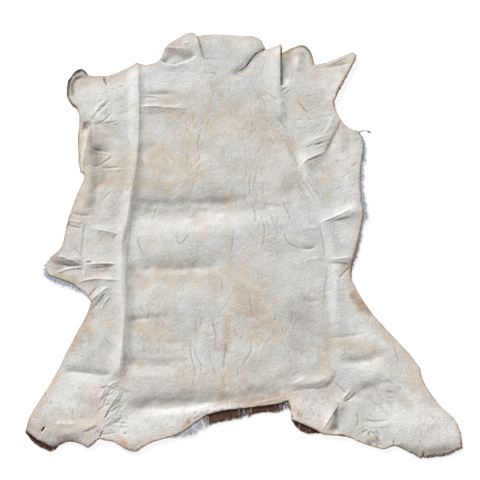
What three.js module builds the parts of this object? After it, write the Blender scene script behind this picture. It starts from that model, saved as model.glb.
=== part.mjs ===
// A deer hide with its hair on, laid flesh side up on a flat surface.
//
// Millimetres, +Z up. The neck points along +Y, the tail along -Y, and the skin lies on its hair.
// The leather is one sheet whose height over the floor is worked out from its folds and bulges.
// The hair is one slab under it, pressed flat where it meets the floor, with locks at its rim.

import * as THREE from 'three';

// Driving sizes
const SKIN_THICKNESS = 1.6;
const LAYER_GAP = 0.3;
const PILE_HEIGHT = 9;
const PILE_REACH = 14;
const LEAST_HEIGHT = 4.5;
const RIM_STEP = 13;
const FOLD_STEP = 24;
const FIELD_STEP = 42;
const FIELD_CLEARANCE = 19;
const POINT_CLEARANCE = 5.5;
const CREST_CLEARANCE = 13;
const FLANK_SHARES = [0, -0.45, 0.45, -1, 1];
const RIM_CLEARANCE = 7;

// The hair lies back towards the tail
const HAIR_FLOW = new THREE.Vector2(0, -0.55);
const LOCK_MIDDLE = 0.6;
const LOCK_MIDDLE_WIDTH = 0.4;
const LOCK_MIDDLE_HEIGHT = 0.55;
const SHORTEST_LOCK = 3;
const SHORT_LOCK_SHARE = 0.6;
const DENSE_HAIR = 9;

// The outline runs clockwise as seen from above, starting at the neck.
// hair: how far the hair reaches past the leather there
// curl: how far the rim stands above (+) or below (-) the skin beside it
// edge: places that one smooth line joins, with a corner where two stretches meet
const OUTLINE = [
  { part: 'neck', hair: 3, curl: -1,
    edge: [[-121, 551], [-77, 557], [-10, 552], [31, 549], [50, 536], [60, 509]] },
  { part: 'neck cut, flap side', hair: 0, curl: -2, edge: [[60, 509], [33, 491], [10, 458], [-22, 430]] },
  { part: 'neck cut, shoulder side', hair: 0, curl: 0,
    edge: [[-22, 430], [3, 437], [17, 457], [40, 489], [65, 508]] },
  { part: 'right collar', hair: 3, curl: 0, edge: [[65, 508], [90, 518], [106, 523], [105, 497]] },
  { part: 'right lobe', hair: 4, curl: 2,
    edge: [[105, 497], [134, 512], [163, 521], [184, 498], [192, 459]] },
  { part: 'right foreleg, neck side', hair: 3, curl: 0,
    edge: [[192, 459], [232, 469], [273, 489], [297, 499]] },
  { part: 'right foreleg, end', hair: 3, curl: 2, edge: [[297, 499], [306, 490], [303, 476]] },
  { part: 'right foreleg, belly side', hair: 4, curl: 2,
    edge: [[303, 476], [283, 435], [259, 390], [241, 347]] },
  { part: 'right armpit', hair: 4, curl: 0, edge: [[241, 347], [246, 321], [265, 284], [294, 262]] },
  { part: 'right belly', hair: 14, curl: -1,
    edge: [[294, 262], [309, 246], [311, 210], [301, 144], [299, 85], [303, 40], [296, -2], [283, -62],
      [269, -106], [266, -142]] },
  { part: 'right thigh', hair: 4, curl: 0,
    edge: [[266, -142], [290, -192], [325, -244], [394, -325], [417, -361]] },
  { part: 'right shank', hair: 5, curl: -1,
    edge: [[417, -361], [425, -395], [458, -447], [490, -480], [501, -515], [501, -543]] },
  { part: 'right hind foot', hair: 6, curl: -1, edge: [[501, -543], [464, -558], [415, -564]] },
  { part: 'nick beside the foot', hair: 0, curl: -1, edge: [[415, -564], [413, -553], [409, -567]] },
  { part: 'right leg, inner side', hair: 4, curl: -2,
    edge: [[409, -567], [381, -553], [347, -539], [327, -547], [281, -536], [241, -520], [187, -514]] },
  { part: 'right haunch', hair: 18, curl: -1, edge: [[187, -514], [156, -498], [114, -481]] },
  { part: 'right rump', hair: 5, curl: -1, edge: [[114, -481], [111, -456], [105, -436]] },
  { part: 'tail', hair: 25, curl: -1,
    edge: [[105, -436], [77, -444], [9, -453], [-38, -458], [-84, -469]] },
  { part: 'left of the tail', hair: 28, curl: -1, edge: [[-84, -469], [-104, -482], [-135, -506]] },
  { part: 'left rump', hair: 7, curl: -1, edge: [[-135, -506], [-160, -518], [-206, -531], [-246, -552]] },
  { part: 'left haunch', hair: 4, curl: 0, edge: [[-246, -552], [-269, -546], [-297, -531], [-331, -525]] },
  { part: 'left scallop', hair: 3, curl: -1, edge: [[-331, -525], [-343, -535], [-355, -543]] },
  { part: 'left leg, inner side', hair: 4, curl: -3,
    edge: [[-355, -543], [-382, -532], [-407, -531], [-436, -543]] },
  { part: 'left hind foot', hair: 13, curl: -1, edge: [[-436, -543], [-474, -524], [-499, -506]] },
  { part: 'left thigh', hair: 3, curl: 0,
    edge: [[-499, -506], [-491, -469], [-445, -385], [-411, -306], [-375, -227], [-368, -198]] },
  { part: 'left flank fold', hair: 14, curl: 0,
    edge: [[-368, -198], [-382, -178], [-417, -151], [-471, -132]] },
  { part: 'left belly tip', hair: 15, curl: -2,
    edge: [[-471, -132], [-483, -116], [-479, -96], [-467, -77]] },
  { part: 'left belly', hair: 3, curl: 0,
    edge: [[-467, -77], [-448, -56], [-439, 2], [-424, 68], [-404, 127], [-404, 143]] },
  { part: 'left elbow', hair: 5, curl: 0,
    edge: [[-404, 143], [-416, 153], [-426, 236], [-427, 305], [-437, 329]] },
  { part: 'left foreleg', hair: 3, curl: 4,
    edge: [[-437, 329], [-459, 354], [-463, 400], [-447, 435], [-427, 445], [-410, 428]] },
  { part: 'left shoulder', hair: 3, curl: 1, edge: [[-410, 428], [-365, 426], [-321, 442], [-283, 466]] },
  { part: 'left of the neck', hair: 3, curl: -1,
    edge: [[-283, 466], [-256, 461], [-224, 475], [-206, 517], [-168, 549], [-139, 561], [-125, 551]] },
  { part: 'small neck cut, left side', hair: 0, curl: 0, edge: [[-125, 551], [-117, 522], [-103, 480]] },
  { part: 'small neck cut, right side', hair: 0, curl: 0, edge: [[-103, 480], [-113, 522], [-121, 551]] },
];
const CURL_REACH = 13;
const RIM_WAVE = 0.8;
const RIM_WAVE_LENGTH = 57;

// Folds and creases of the skin.
// rise: height of its crest, or less than 0 for a trough
// port, starboard: how far it reaches to the left and to the right of its route
// route: its crest, from place to place, fading out over `fade` at both ends
const FOLDS = [
  { name: 'left lengthwise fold', rise: 10, port: 26, starboard: 13, fade: 30,
    route: [[-292, -393], [-285, -317], [-281, -250], [-290, -119], [-299, -38], [-285, 30],
      [-277, 130], [-269, 223], [-271, 330], [-278, 452]] },
  { name: 'right fold, neck to shoulder', rise: 9, port: 8, starboard: 45, fade: 12,
    route: [[105, 510], [100, 445], [99, 372], [110, 290]] },
  { name: 'right lengthwise fold', rise: -4, port: 20, starboard: 12, fade: 40,
    route: [[112, 270], [137, 195], [152, 115], [192, -12], [204, -91], [204, -196], [209, -273],
      [208, -315], [216, -366]] },
  { name: 'roll beside the right fold', rise: 5, port: 18, starboard: 26, fade: 50,
    route: [[152, 200], [176, 105], [213, 0], [226, -91], [224, -200], [231, -290]] },
  { name: 'roll under the right fold', rise: 6, port: 12, starboard: 22, fade: 30,
    route: [[214, -362], [192, -392], [150, -400], [105, -402]] },
  { name: 'chest fold', rise: -3, port: 26, starboard: 14, fade: 40,
    route: [[-268, 314], [-217, 317], [-140, 312]] },
  { name: 'short chest fold', rise: -2, port: 18, starboard: 10, fade: 20,
    route: [[-272, 215], [-225, 215]] },
  { name: 'middle fold', rise: -4, port: 34, starboard: 16, fade: 60,
    route: [[-276, 74], [-190, 68], [-90, 68], [0, 70]] },
  { name: 'loin fold', rise: -3.5, port: 34, starboard: 16, fade: 60,
    route: [[-285, -106], [-200, -111], [-105, -109], [-30, -105]] },
  { name: 'short loin fold', rise: -3, port: 18, starboard: 10, fade: 20,
    route: [[-279, -242], [-254, -238], [-228, -226]] },
  { name: 'croup fold', rise: -3, port: 26, starboard: 14, fade: 40,
    route: [[-280, -327], [-230, -331], [-175, -328]] },
  { name: 'rump fold', rise: -5, port: 34, starboard: 14, fade: 50,
    route: [[-264, -446], [-193, -449], [-135, -445], [-75, -438]] },
  { name: 'left shank fold', rise: -4, port: 20, starboard: 16, fade: 30,
    route: [[-432, -364], [-372, -376], [-300, -385]] },
  { name: 'right shank fold', rise: -4, port: 18, starboard: 18, fade: 30,
    route: [[216, -330], [250, -343], [301, -340], [350, -320]] },
  { name: 'right foot fold', rise: -4, port: 26, starboard: 16, fade: 30,
    route: [[238, -428], [286, -412], [345, -388]] },
  { name: 'right flank ridge', rise: 8, port: 20, starboard: 20, fade: 25,
    route: [[194, 3], [249, 26], [300, 50]] },
  { name: 'right flank roll', rise: 7, port: 14, starboard: 16, fade: 20,
    route: [[212, -92], [242, -88], [272, -88]] },
  { name: 'right shoulder ridge', rise: 7, port: 16, starboard: 14, fade: 20,
    route: [[144, 162], [171, 186], [214, 204]] },
  { name: 'right armpit ridge', rise: 6, port: 14, starboard: 14, fade: 18,
    route: [[152, 216], [188, 235], [226, 249]] },
  { name: 'right armpit trough', rise: -4, port: 14, starboard: 22, fade: 20,
    route: [[214, 184], [234, 236], [254, 290]] },
  { name: 'right belly shade', rise: -3, port: 14, starboard: 14, fade: 20,
    route: [[120, -12], [157, -33], [196, -53]] },
  { name: 'left shoulder pucker', rise: -4, port: 14, starboard: 16, fade: 12,
    route: [[-420, 300], [-413, 280], [-402, 264]] },
  { name: 'pucker ray to the neck', rise: 6, port: 12, starboard: 12, fade: 18,
    route: [[-396, 293], [-374, 322], [-350, 355]] },
  { name: 'pucker ray to the back', rise: 5, port: 10, starboard: 10, fade: 18,
    route: [[-392, 292], [-360, 293], [-326, 293]] },
  { name: 'pucker ray to the belly', rise: 6, port: 12, starboard: 12, fade: 22,
    route: [[-396, 288], [-401, 223], [-400, 158]] },
  { name: 'left elbow fold', rise: -3.5, port: 12, starboard: 12, fade: 16,
    route: [[-390, 210], [-363, 203], [-330, 194]] },
  { name: 'left belly fold', rise: 6, port: 14, starboard: 12, fade: 18,
    route: [[-384, -7], [-345, -12], [-304, -22]] },
  { name: 'belly star, to the back', rise: 7, port: 14, starboard: 14, fade: 20,
    route: [[-390, -106], [-355, -103], [-315, -101]] },
  { name: 'belly star, to the rim', rise: 6, port: 12, starboard: 14, fade: 16,
    route: [[-392, -106], [-428, -94], [-460, -84]] },
  { name: 'belly star, trough', rise: -4, port: 12, starboard: 12, fade: 14,
    route: [[-465, -106], [-430, -108], [-400, -114]] },
  { name: 'flank fold', rise: 6, port: 12, starboard: 12, fade: 18,
    route: [[-380, -143], [-339, -140], [-299, -148]] },
  { name: 'thigh fold', rise: 6, port: 12, starboard: 14, fade: 18,
    route: [[-366, -200], [-346, -178], [-320, -158]] },
  { name: 'left foot fold', rise: 6, port: 16, starboard: 14, fade: 20,
    route: [[-425, -512], [-370, -503], [-312, -488]] },
  { name: 'crumpled skin, ridge', rise: 5, port: 14, starboard: 14, fade: 20,
    route: [[-300, -400], [-306, -440], [-322, -478], [-326, -512]] },
  { name: 'crumpled skin, trough', rise: -3, port: 12, starboard: 12, fade: 16,
    route: [[-278, -462], [-284, -490], [-300, -520]] },
  { name: 'pleat, left side', rise: 7, port: 14, starboard: 12, fade: 14,
    route: [[231, -433], [210, -470], [190, -508]] },
  { name: 'pleat, right side', rise: -3.5, port: 14, starboard: 12, fade: 14,
    route: [[236, -436], [233, -478], [226, -514]] },
  { name: 'second pleat', rise: 5, port: 12, starboard: 12, fade: 14,
    route: [[295, -502], [309, -524], [318, -535]] },
  { name: 'neck hollow', rise: -4, port: 18, starboard: 18, fade: 20,
    route: [[-222, 505], [-190, 500], [-155, 483]] },
  { name: 'neck ridge', rise: 6, port: 12, starboard: 14, fade: 14,
    route: [[-208, 476], [-188, 460], [-152, 470]] },
];

// Broad rises and hollows between the folds: centre, half sizes, height of the middle
const BULGES = [
  { x: -85, y: 135, halfX: 190, halfY: 75, rise: 3 },
  { x: -90, y: -20, halfX: 200, halfY: 85, rise: 3.5 },
  { x: -80, y: -190, halfX: 200, halfY: 85, rise: 3 },
  { x: -60, y: -385, halfX: 170, halfY: 65, rise: 3.5 },
  { x: -90, y: 400, halfX: 170, halfY: 110, rise: 3 },
  { x: -365, y: 380, halfX: 75, halfY: 60, rise: 3 },
  { x: 245, y: 400, halfX: 60, halfY: 90, rise: 3 },
  { x: 245, y: 120, halfX: 60, halfY: 60, rise: 4 },
  { x: 235, y: -150, halfX: 45, halfY: 60, rise: 3 },
  { x: 320, y: -375, halfX: 100, halfY: 45, rise: 4 },
  { x: 400, y: -490, halfX: 90, halfY: 50, rise: 4 },
  { x: -375, y: -300, halfX: 70, halfY: 60, rise: 3 },
  { x: -400, y: -450, halfX: 80, halfY: 55, rise: 4 },
  { x: -380, y: 60, halfX: 55, halfY: 80, rise: 3 },
  { x: -130, y: 525, halfX: 60, halfY: 40, rise: 3 },
];

// A dried string of skin at the right armpit: its route out from the rim, its width and its knot
const STRING = { route: [[303, 262], [316, 267], [326, 266], [333, 263]], width: 3, knot: 5, fall: 2 };

// One smooth line through a few places, as points about a step apart
function smoothLine(places, step) {
  const line = new THREE.SplineCurve(places.map(([x, y]) => new THREE.Vector2(x, y)));
  const count = Math.max(1, Math.round(line.getLength() / step));
  return line.getSpacedPoints(count);
}

// The rim as a closed ring of points, each with the hair and the curl of its stretch
function makeRim() {
  const rim = [];
  for (const { edge, hair, curl } of OUTLINE) {
    const points = smoothLine(edge, RIM_STEP);
    points.pop();
    for (const { x, y } of points) rim.push({ x, y, hair, curl });
  }
  return rim;
}

// The nearest place on a line: how far off it is, on which side, and where along the line
function nearestOnLine(line, x, y) {
  let best = { distance: Infinity, side: 1, segment: 0, share: 0 };
  for (let segment = 0; segment + 1 < line.length; segment++) {
    const a = line[segment];
    const b = line[segment + 1];
    const dx = b.x - a.x;
    const dy = b.y - a.y;
    const offered = ((x - a.x) * dx + (y - a.y) * dy) / (dx * dx + dy * dy);
    const share = THREE.MathUtils.clamp(offered, 0, 1);
    const distance = Math.hypot(x - a.x - share * dx, y - a.y - share * dy);
    if (distance < best.distance) {
      const side = dx * (y - a.y) - dy * (x - a.x) > 0 ? 1 : -1;
      best = { distance, side, segment, share };
    }
  }
  return best;
}

const foldLines = FOLDS.map((fold) => ({ ...fold, line: smoothLine(fold.route, FOLD_STEP / 2) }));

// Height that one fold adds: full on its crest, nothing past its reach and its ends
function foldHeight(fold, x, y) {
  const { distance, side, segment, share } = nearestOnLine(fold.line, x, y);
  const reach = side > 0 ? fold.port : fold.starboard;
  if (distance >= reach) return 0;
  const off = distance / reach;
  const along = (segment + share) * fold.line[0].distanceTo(fold.line[1]);
  const length = (fold.line.length - 1) * fold.line[0].distanceTo(fold.line[1]);
  const ends = THREE.MathUtils.smoothstep(Math.min(along, length - along), -1, fold.fade);
  return fold.rise * ends * (1 - off) ** 2 * (1 + off);
}

function bulgeHeight(bulge, x, y) {
  const off = Math.hypot((x - bulge.x) / bulge.halfX, (y - bulge.y) / bulge.halfY);
  return off < 1 ? bulge.rise * (1 - off * off) ** 2 : 0;
}

// What the rim adds: its curl, and a slight wave along it
function rimHeight(rim, x, y) {
  const { distance, segment, share } = nearestOnLine([...rim, rim[0]], x, y);
  if (distance >= CURL_REACH) return 0;
  const wave = RIM_WAVE * Math.sin((2 * Math.PI * (segment + share) * RIM_STEP) / RIM_WAVE_LENGTH);
  return (rim[segment].curl + wave) * (1 - distance / CURL_REACH) ** 2;
}

// Height of the underside of the leather over the floor
function skinHeight(rim, x, y) {
  let height = PILE_HEIGHT + rimHeight(rim, x, y);
  for (const fold of foldLines) height += foldHeight(fold, x, y);
  for (const bulge of BULGES) height += bulgeHeight(bulge, x, y);
  return Math.max(height, LEAST_HEIGHT);
}

function isInside(ring, x, y) {
  let inside = false;
  ring.forEach((a, i) => {
    const b = ring[(i + 1) % ring.length];
    const crosses = a.y > y !== b.y > y;
    if (crosses && x < ((b.x - a.x) * (y - a.y)) / (b.y - a.y) + a.x) inside = !inside;
  });
  return inside;
}

// Points over the skin: on the crest and flanks of each fold in turn, and in a wide net between them
function innerPoints(rim) {
  const closedRim = [...rim, rim[0]];
  const points = [];
  const crests = [];
  const offer = (x, y, clearance) => {
    const isFree = points.every((point) => Math.hypot(point.x - x, point.y - y) > clearance);
    if (!isFree || !isInside(rim, x, y)) return;
    if (crests.some((crest) => nearestOnLine(crest, x, y).distance < CREST_CLEARANCE)) return;
    if (nearestOnLine(closedRim, x, y).distance > RIM_CLEARANCE) points.push({ x, y });
  };
  for (const fold of foldLines) {
    const route = smoothLine(fold.route, FOLD_STEP);
    for (const share of FLANK_SHARES) {
      const offset = share * (share > 0 ? fold.port : fold.starboard);
      route.forEach((point, i) => {
        const before = route[Math.max(0, i - 1)];
        const after = route[Math.min(route.length - 1, i + 1)];
        const along = after.clone().sub(before).normalize();
        offer(point.x - along.y * offset, point.y + along.x * offset, POINT_CLEARANCE);
      });
    }
    crests.push(fold.line);
  }
  const rowStep = (FIELD_STEP * Math.sqrt(3)) / 2;
  const extent = Math.max(...rim.map((point) => Math.max(Math.abs(point.x), Math.abs(point.y))));
  for (let row = 0, y = -extent; y < extent; row++, y += rowStep) {
    const shift = (row % 2) * (FIELD_STEP / 2);
    for (let x = -extent + shift; x < extent; x += FIELD_STEP) offer(x, y, FIELD_CLEARANCE);
  }
  return points;
}

// A triangle with the centre and radius of the circle through its corners
function circledTriangle(points, corners) {
  const [a, b, c] = corners.map((corner) => points[corner]);
  const bx = b.x - a.x;
  const by = b.y - a.y;
  const cx = c.x - a.x;
  const cy = c.y - a.y;
  const twice = 2 * (bx * cy - by * cx);
  const bLength = bx * bx + by * by;
  const cLength = cx * cx + cy * cy;
  const x = (cy * bLength - by * cLength) / twice;
  const y = (bx * cLength - cx * bLength) / twice;
  return { corners, x: a.x + x, y: a.y + y, radius: Math.hypot(x, y) };
}

// Delaunay triangles: each point in turn clears the circles that it lies in and fans out to their rim
function triangulate(points) {
  const far = 1e6;
  const all = [...points, { x: -far, y: -far }, { x: far, y: -far }, { x: 0, y: far }];
  const outer = [points.length, points.length + 1, points.length + 2];
  let triangles = [circledTriangle(all, outer)];
  points.forEach((point, index) => {
    const kept = [];
    const edges = new Map();
    for (const triangle of triangles) {
      if (Math.hypot(point.x - triangle.x, point.y - triangle.y) > triangle.radius) {
        kept.push(triangle);
        continue;
      }
      triangle.corners.forEach((from, side) => {
        const to = triangle.corners[(side + 1) % 3];
        if (!edges.delete(`${to} ${from}`)) edges.set(`${from} ${to}`, [from, to]);
      });
    }
    for (const [from, to] of edges.values()) kept.push(circledTriangle(all, [from, to, index]));
    triangles = kept;
  });
  return triangles.map(({ corners }) => corners).filter((corners) => Math.max(...corners) < points.length);
}

const sideName = (from, to) => `${Math.min(from, to)} ${Math.max(from, to)}`;

// The net of the skin: the rim, split until each piece of it is a triangle's side, and the inner points
function makeNet() {
  const firstRim = makeRim();
  const inner = innerPoints(firstRim);
  let rim = firstRim;
  for (;;) {
    const points = [...rim, ...inner];
    const triangles = triangulate(points);
    const sides = new Set(triangles.flatMap(([a, b, c]) => [sideName(a, b), sideName(b, c), sideName(c, a)]));
    const split = [];
    rim.forEach((point, i) => {
      const next = (i + 1) % rim.length;
      split.push(point);
      if (sides.has(sideName(i, next))) return;
      const after = rim[next];
      split.push({ ...point, x: (point.x + after.x) / 2, y: (point.y + after.y) / 2 });
    });
    if (split.length === rim.length) {
      const inside = triangles.filter((corners) => {
        const x = corners.reduce((sum, corner) => sum + points[corner].x, 0) / 3;
        const y = corners.reduce((sum, corner) => sum + points[corner].y, 0) / 3;
        return isInside(rim, x, y);
      });
      const heights = points.map(({ x, y }) => skinHeight(firstRim, x, y));
      return { rim, points, triangles: inside, heights };
    }
    rim = split;
  }
}

// A closed sheet between two heights over the net. Its wall is whole but where a strand grows from it.
class Sheet {
  constructor(net, top, bottom) {
    this.net = net;
    this.vertices = [];
    this.faces = [];
    const { points, triangles, rim } = net;
    this.count = points.length;
    points.forEach(({ x, y }, i) => this.vertices.push(new THREE.Vector3(x, y, top[i])));
    points.forEach(({ x, y }, i) => this.vertices.push(new THREE.Vector3(x, y, bottom[i])));
    for (const [a, b, c] of triangles) {
      this.faces.push([a, b, c], [a + this.count, c + this.count, b + this.count]);
    }
    this.wallIsOpen = rim.map(() => false);
  }

  // The four corners of a piece of wall, which face out in this order
  wallCorners(i) {
    const next = (i + 1) % this.net.rim.length;
    return [i + this.count, i, next, next + this.count];
  }

  // A strand in place of a piece of wall: rings of four points, and then its tip
  grow(i, rings, tip) {
    this.wallIsOpen[i] = true;
    let from = this.wallCorners(i);
    for (const ring of rings) {
      const to = ring.map((point) => this.vertices.push(point) - 1);
      from.forEach((corner, side) => {
        const next = (side + 1) % from.length;
        this.faces.push([corner, from[next], to[next]], [corner, to[next], to[side]]);
      });
      from = to;
    }
    const end = this.vertices.push(tip) - 1;
    from.forEach((corner, side) => this.faces.push([corner, from[(side + 1) % from.length], end]));
  }

  toMesh(name, material) {
    this.wallIsOpen.forEach((isOpen, i) => {
      if (isOpen) return;
      const [a, b, c, d] = this.wallCorners(i);
      this.faces.push([a, b, c], [a, c, d]);
    });
    const geometry = new THREE.BufferGeometry();
    const numbers = this.vertices.flatMap((vertex) => vertex.toArray());
    geometry.setAttribute('position', new THREE.Float32BufferAttribute(numbers, 3));
    geometry.setIndex(this.faces.flat());
    geometry.computeVertexNormals();
    const mesh = new THREE.Mesh(geometry, material);
    mesh.name = name;
    return mesh;
  }
}

// The way out of the skin from a piece of its rim, and the middle of that piece
function wayOut(rim, i) {
  const a = rim[i];
  const b = rim[(i + 1) % rim.length];
  const out = new THREE.Vector2(a.y - b.y, b.x - a.x).normalize();
  const middle = new THREE.Vector2((a.x + b.x) / 2, (a.y + b.y) / 2);
  return { out, middle };
}

// A number from 0 to 1 that differs from one piece of rim to the next
const varied = (i) => THREE.MathUtils.euclideanModulo(Math.sin(i * 12.9898) * 43758.5453, 1);

function ringAround(centre, across, halfWidth, low, high) {
  const left = centre.clone().addScaledVector(across, -halfWidth);
  const right = centre.clone().addScaledVector(across, halfWidth);
  return [
    new THREE.Vector3(left.x, left.y, low), new THREE.Vector3(left.x, left.y, high),
    new THREE.Vector3(right.x, right.y, high), new THREE.Vector3(right.x, right.y, low),
  ];
}

// A lock of hair that tapers out from the wall of the coat and rests on the floor
function growLock(coat, i) {
  const { out, middle } = wayOut(coat.net.rim, i);
  const [low, high, nextHigh] = coat.wallCorners(i).map((corner) => coat.vertices[corner]);
  const way = out.clone().add(HAIR_FLOW).normalize();
  const length = coat.net.rim[i].hair * THREE.MathUtils.lerp(SHORT_LOCK_SHARE, 1, varied(i));
  const centre = middle.clone().addScaledVector(way, length * LOCK_MIDDLE);
  const tip = middle.clone().addScaledVector(way, length);
  const across = new THREE.Vector2(out.y, -out.x);
  const halfWidth = high.distanceTo(nextHigh) * LOCK_MIDDLE_WIDTH;
  const top = (high.z - low.z) * LOCK_MIDDLE_HEIGHT;
  coat.grow(i, [ringAround(centre, across, halfWidth, 0, top)], new THREE.Vector3(tip.x, tip.y, 0));
}

// The string of dried skin, which grows out of the leather's rim, falls to the floor and ends in a knot
function growString(leather) {
  const line = smoothLine(STRING.route, 8);
  const start = line[0];
  const root = nearestOnLine([...leather.net.rim, leather.net.rim[0]], start.x, start.y).segment;
  const height = leather.net.heights[root];
  const rings = line.map((point, i) => {
    const along = line[Math.min(i + 1, line.length - 1)].clone().sub(line[Math.max(i - 1, 0)]).normalize();
    const across = new THREE.Vector2(along.y, -along.x);
    const low = THREE.MathUtils.lerp(height, STRING.fall, i / (line.length - 1));
    const width = i === line.length - 2 ? STRING.knot : STRING.width;
    return ringAround(point, across, width / 2, low, low + SKIN_THICKNESS);
  });
  const last = line[line.length - 1];
  leather.grow(root, rings, new THREE.Vector3(last.x + STRING.width, last.y, STRING.fall));
}

function makeLeather(net, material) {
  const leather = new Sheet(net, net.heights.map((height) => height + SKIN_THICKNESS), net.heights);
  growString(leather);
  return leather.toMesh('hide_leather', material);
}

// The hair lies on the floor but where a fold lifts the skin by more than its hair can reach
function makeCoat(net, material) {
  const top = net.heights.map((height) => height - LAYER_GAP);
  const bottom = top.map((height) => Math.max(0, height - PILE_REACH));
  const coat = new Sheet(net, top, bottom);
  net.rim.forEach(({ hair }, i) => {
    const isDense = hair >= DENSE_HAIR;
    if (hair >= SHORTEST_LOCK && (isDense || i % 2 === 0)) growLock(coat, i);
  });
  return coat.toMesh('hair_coat', material);
}

// Both layers, stood on the floor with the middle of their box over the origin
function makeHide() {
  const net = makeNet();
  const leather = new THREE.MeshStandardMaterial({ color: 0xdcd7cc, roughness: 0.85, metalness: 0 });
  const hair = new THREE.MeshStandardMaterial({ color: 0x8d7763, roughness: 0.95, metalness: 0 });
  const hide = new THREE.Group();
  hide.add(makeLeather(net, leather), makeCoat(net, hair));
  const box = new THREE.Box3().setFromObject(hide);
  const centre = box.getCenter(new THREE.Vector3());
  hide.position.set(-centre.x, -centre.y, -box.min.z);
  return hide;
}

export default makeHide();
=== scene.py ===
"""A deer skin laid flat with its flesh side up and its hair underneath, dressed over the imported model.

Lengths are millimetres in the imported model's frame: X to the right, +Y towards the neck. A value in brackets
whose name ends in SPREAD holds the two ends that a random number falls between.
"""

import math
from collections import namedtuple

import bpy
import numpy as np
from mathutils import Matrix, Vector, geometry
from mathutils.bvhtree import BVHTree
from mathutils.kdtree import KDTree


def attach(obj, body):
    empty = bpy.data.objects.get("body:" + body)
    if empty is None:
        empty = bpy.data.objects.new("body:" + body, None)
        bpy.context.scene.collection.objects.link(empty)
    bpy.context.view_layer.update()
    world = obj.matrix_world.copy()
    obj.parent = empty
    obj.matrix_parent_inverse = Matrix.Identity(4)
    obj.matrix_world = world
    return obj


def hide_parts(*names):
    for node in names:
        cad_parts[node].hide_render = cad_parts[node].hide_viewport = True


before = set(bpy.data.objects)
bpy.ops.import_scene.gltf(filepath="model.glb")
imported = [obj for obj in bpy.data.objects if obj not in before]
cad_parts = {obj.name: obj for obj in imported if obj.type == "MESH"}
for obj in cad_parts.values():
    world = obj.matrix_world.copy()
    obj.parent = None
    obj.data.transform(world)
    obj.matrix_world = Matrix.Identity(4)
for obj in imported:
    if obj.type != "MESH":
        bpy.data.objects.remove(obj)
bpy.context.view_layer.update()

MM = 0.001
SEED = 41
NOISE_CELLS = 64
NOISE_TURN = 0.6

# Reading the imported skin: corners in the same hundredth of a millimetre are one, and a face is an upper one
# when more than this share of its direction points up
PARTS_PER_MM = 100
UPPER_SHARE = 0.05

# Its relief is read at this step, with a margin round it, and smoothed; hollows are what more smoothing fills
FORM_STEP = 2.5
FORM_MARGIN = 30
FORM_RAY_START = 10
FORM_SMOOTHING = 18
HOLLOW_SMOOTHING = 14

# The skin's outline and its thickness
SKIN_THICKNESS = 1.6
RIM_STEP = 2.6
RIM_RAGGEDNESS = 0.85
RAGGED_ROOM_SHARE = 0.12
CORNER_TURN = 50

# A rim point's room is its distance from the nearest part of the rim that is much further off by the edge:
# further than so many times that distance, and a start
MOST_ROOM = 60.0
ROOM_DETOUR = 2.5
ROOM_START = 2

# Slits: the step along them, the length at both ends that is left alone, how much they narrow towards the
# foot, and the least spacing of their points
SLIT_STEP = 2
SLIT_END = 0.3
SLIT_TAPER = 0.75
SLIT_SPACING = 0.5

# The mesh. The upper face has the fine step near high creases and small marks, and twice that elsewhere.
FINE_STEP = 2.4
UNDERSIDE_STEP = 11.0
UNDERSIDE_REACH = 7
EDGE_BULGE = 0.45
SEARCH_STEP = 1.0
LATTICE_SHIFT = 0.37
LATTICE_EDGE_SHARE = 0.62
SAME_PLACE = 1e-7
FLAT_FACE = 1e-9

# What gets the fine step: creases from this rise up, no wider than this, and paint of less than this reach
DETAIL_RISE = 0.6
DETAIL_REACH = 6
DETAIL_PAINT = 8
DETAIL_PAINT_MARGIN = 3

# A cut's outline: its number of points, and how blunt its ends are
CUT_SIDES = 14
CUT_BLUNTNESS = 0.4

# The skin's relief
LEAST_TOP = 3.4
TOP_EASE = 1.2

# A crease: the step along its route, what is left of it at its very ends, and how sharp it is by its width
CREASE_STEP = 5
CREASE_LEAD = 0.1
NARROW_REACH = 8
BROAD_REACH = 24
NARROW_SHARPNESS = 1.0
BROAD_SHARPNESS = 0.2

# How far a crease wavers to its sides, from this width on, and how uneven its rise is, by noise
CREASE_WAVER = 0.7
WAVER_SIZE = 11
WAVER_SEEDS = range(20, 27)
WAVER_FROM = 1
WAVER_RISE = 7
CREASE_UNEVENNESS = 0.28
UNEVEN_SIZE = 17
UNEVEN_SEEDS = range(30, 35)

# Short wrinkles: how wide, deep and long they are, and their bend in degrees
WRINKLE_REACH = 3.0
WRINKLE_REACH_SPREAD = (0.8, 1.3)
WRINKLE_DEPTH_SPREAD = (0.9, 2.2)
WRINKLE_HALF_SPREAD = (0.35, 0.7)
WRINKLE_BEND = 16

# Grime and painted shade along the narrow troughs, and painted highlight along the narrow crests
LINE_REACH = 2.4
LINE_PLATEAU = 1.1
LINE_LEAST_RISE = 0.3
LINE_FULL_RISE = 1.4
LINE_WIDEST_CREASE = 9


def table(kind, rows):
    """Rows of a table with the kind's named columns."""
    return [kind(*row) for row in rows]


# Unevenness that has no place of its own: each use sums its rows, with the hills' size and their share
Hills = namedtuple("Hills", "size seed share")
HILLS = {
    "rim": [Hills(9, 3, 0.6), Hills(4, 4, 0.4)],
    "swell": [Hills(120, 1, 1.2), Hills(46, 2, 1.0), Hills(14, 5, 0.24), Hills(7, 6, 0.096)],
    "ragged": [Hills(22, 11, 0.6), Hills(8, 12, 0.4)],
    "rim tone": [Hills(34, 22, 0.5)],
    "pale": [Hills(95, 7, 0.34)],
    "tan": [Hills(60, 8, 0.15), Hills(20, 9, 0.24), Hills(9, 24, 0.12)],
    "cool": [Hills(34, 23, 0.36)],
    "shade": [Hills(26, 10, 0.09), Hills(11, 25, 0.07)],
    "coat floor": [Hills(26, 14, 0.5), Hills(9, 15, 0.3)],
    "coat brown": [Hills(60, 13, 0.12)],
    "lock swing": [Hills(70, 19, 0.2)],
    "string": [Hills(4, 21, 1)],
}

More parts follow.
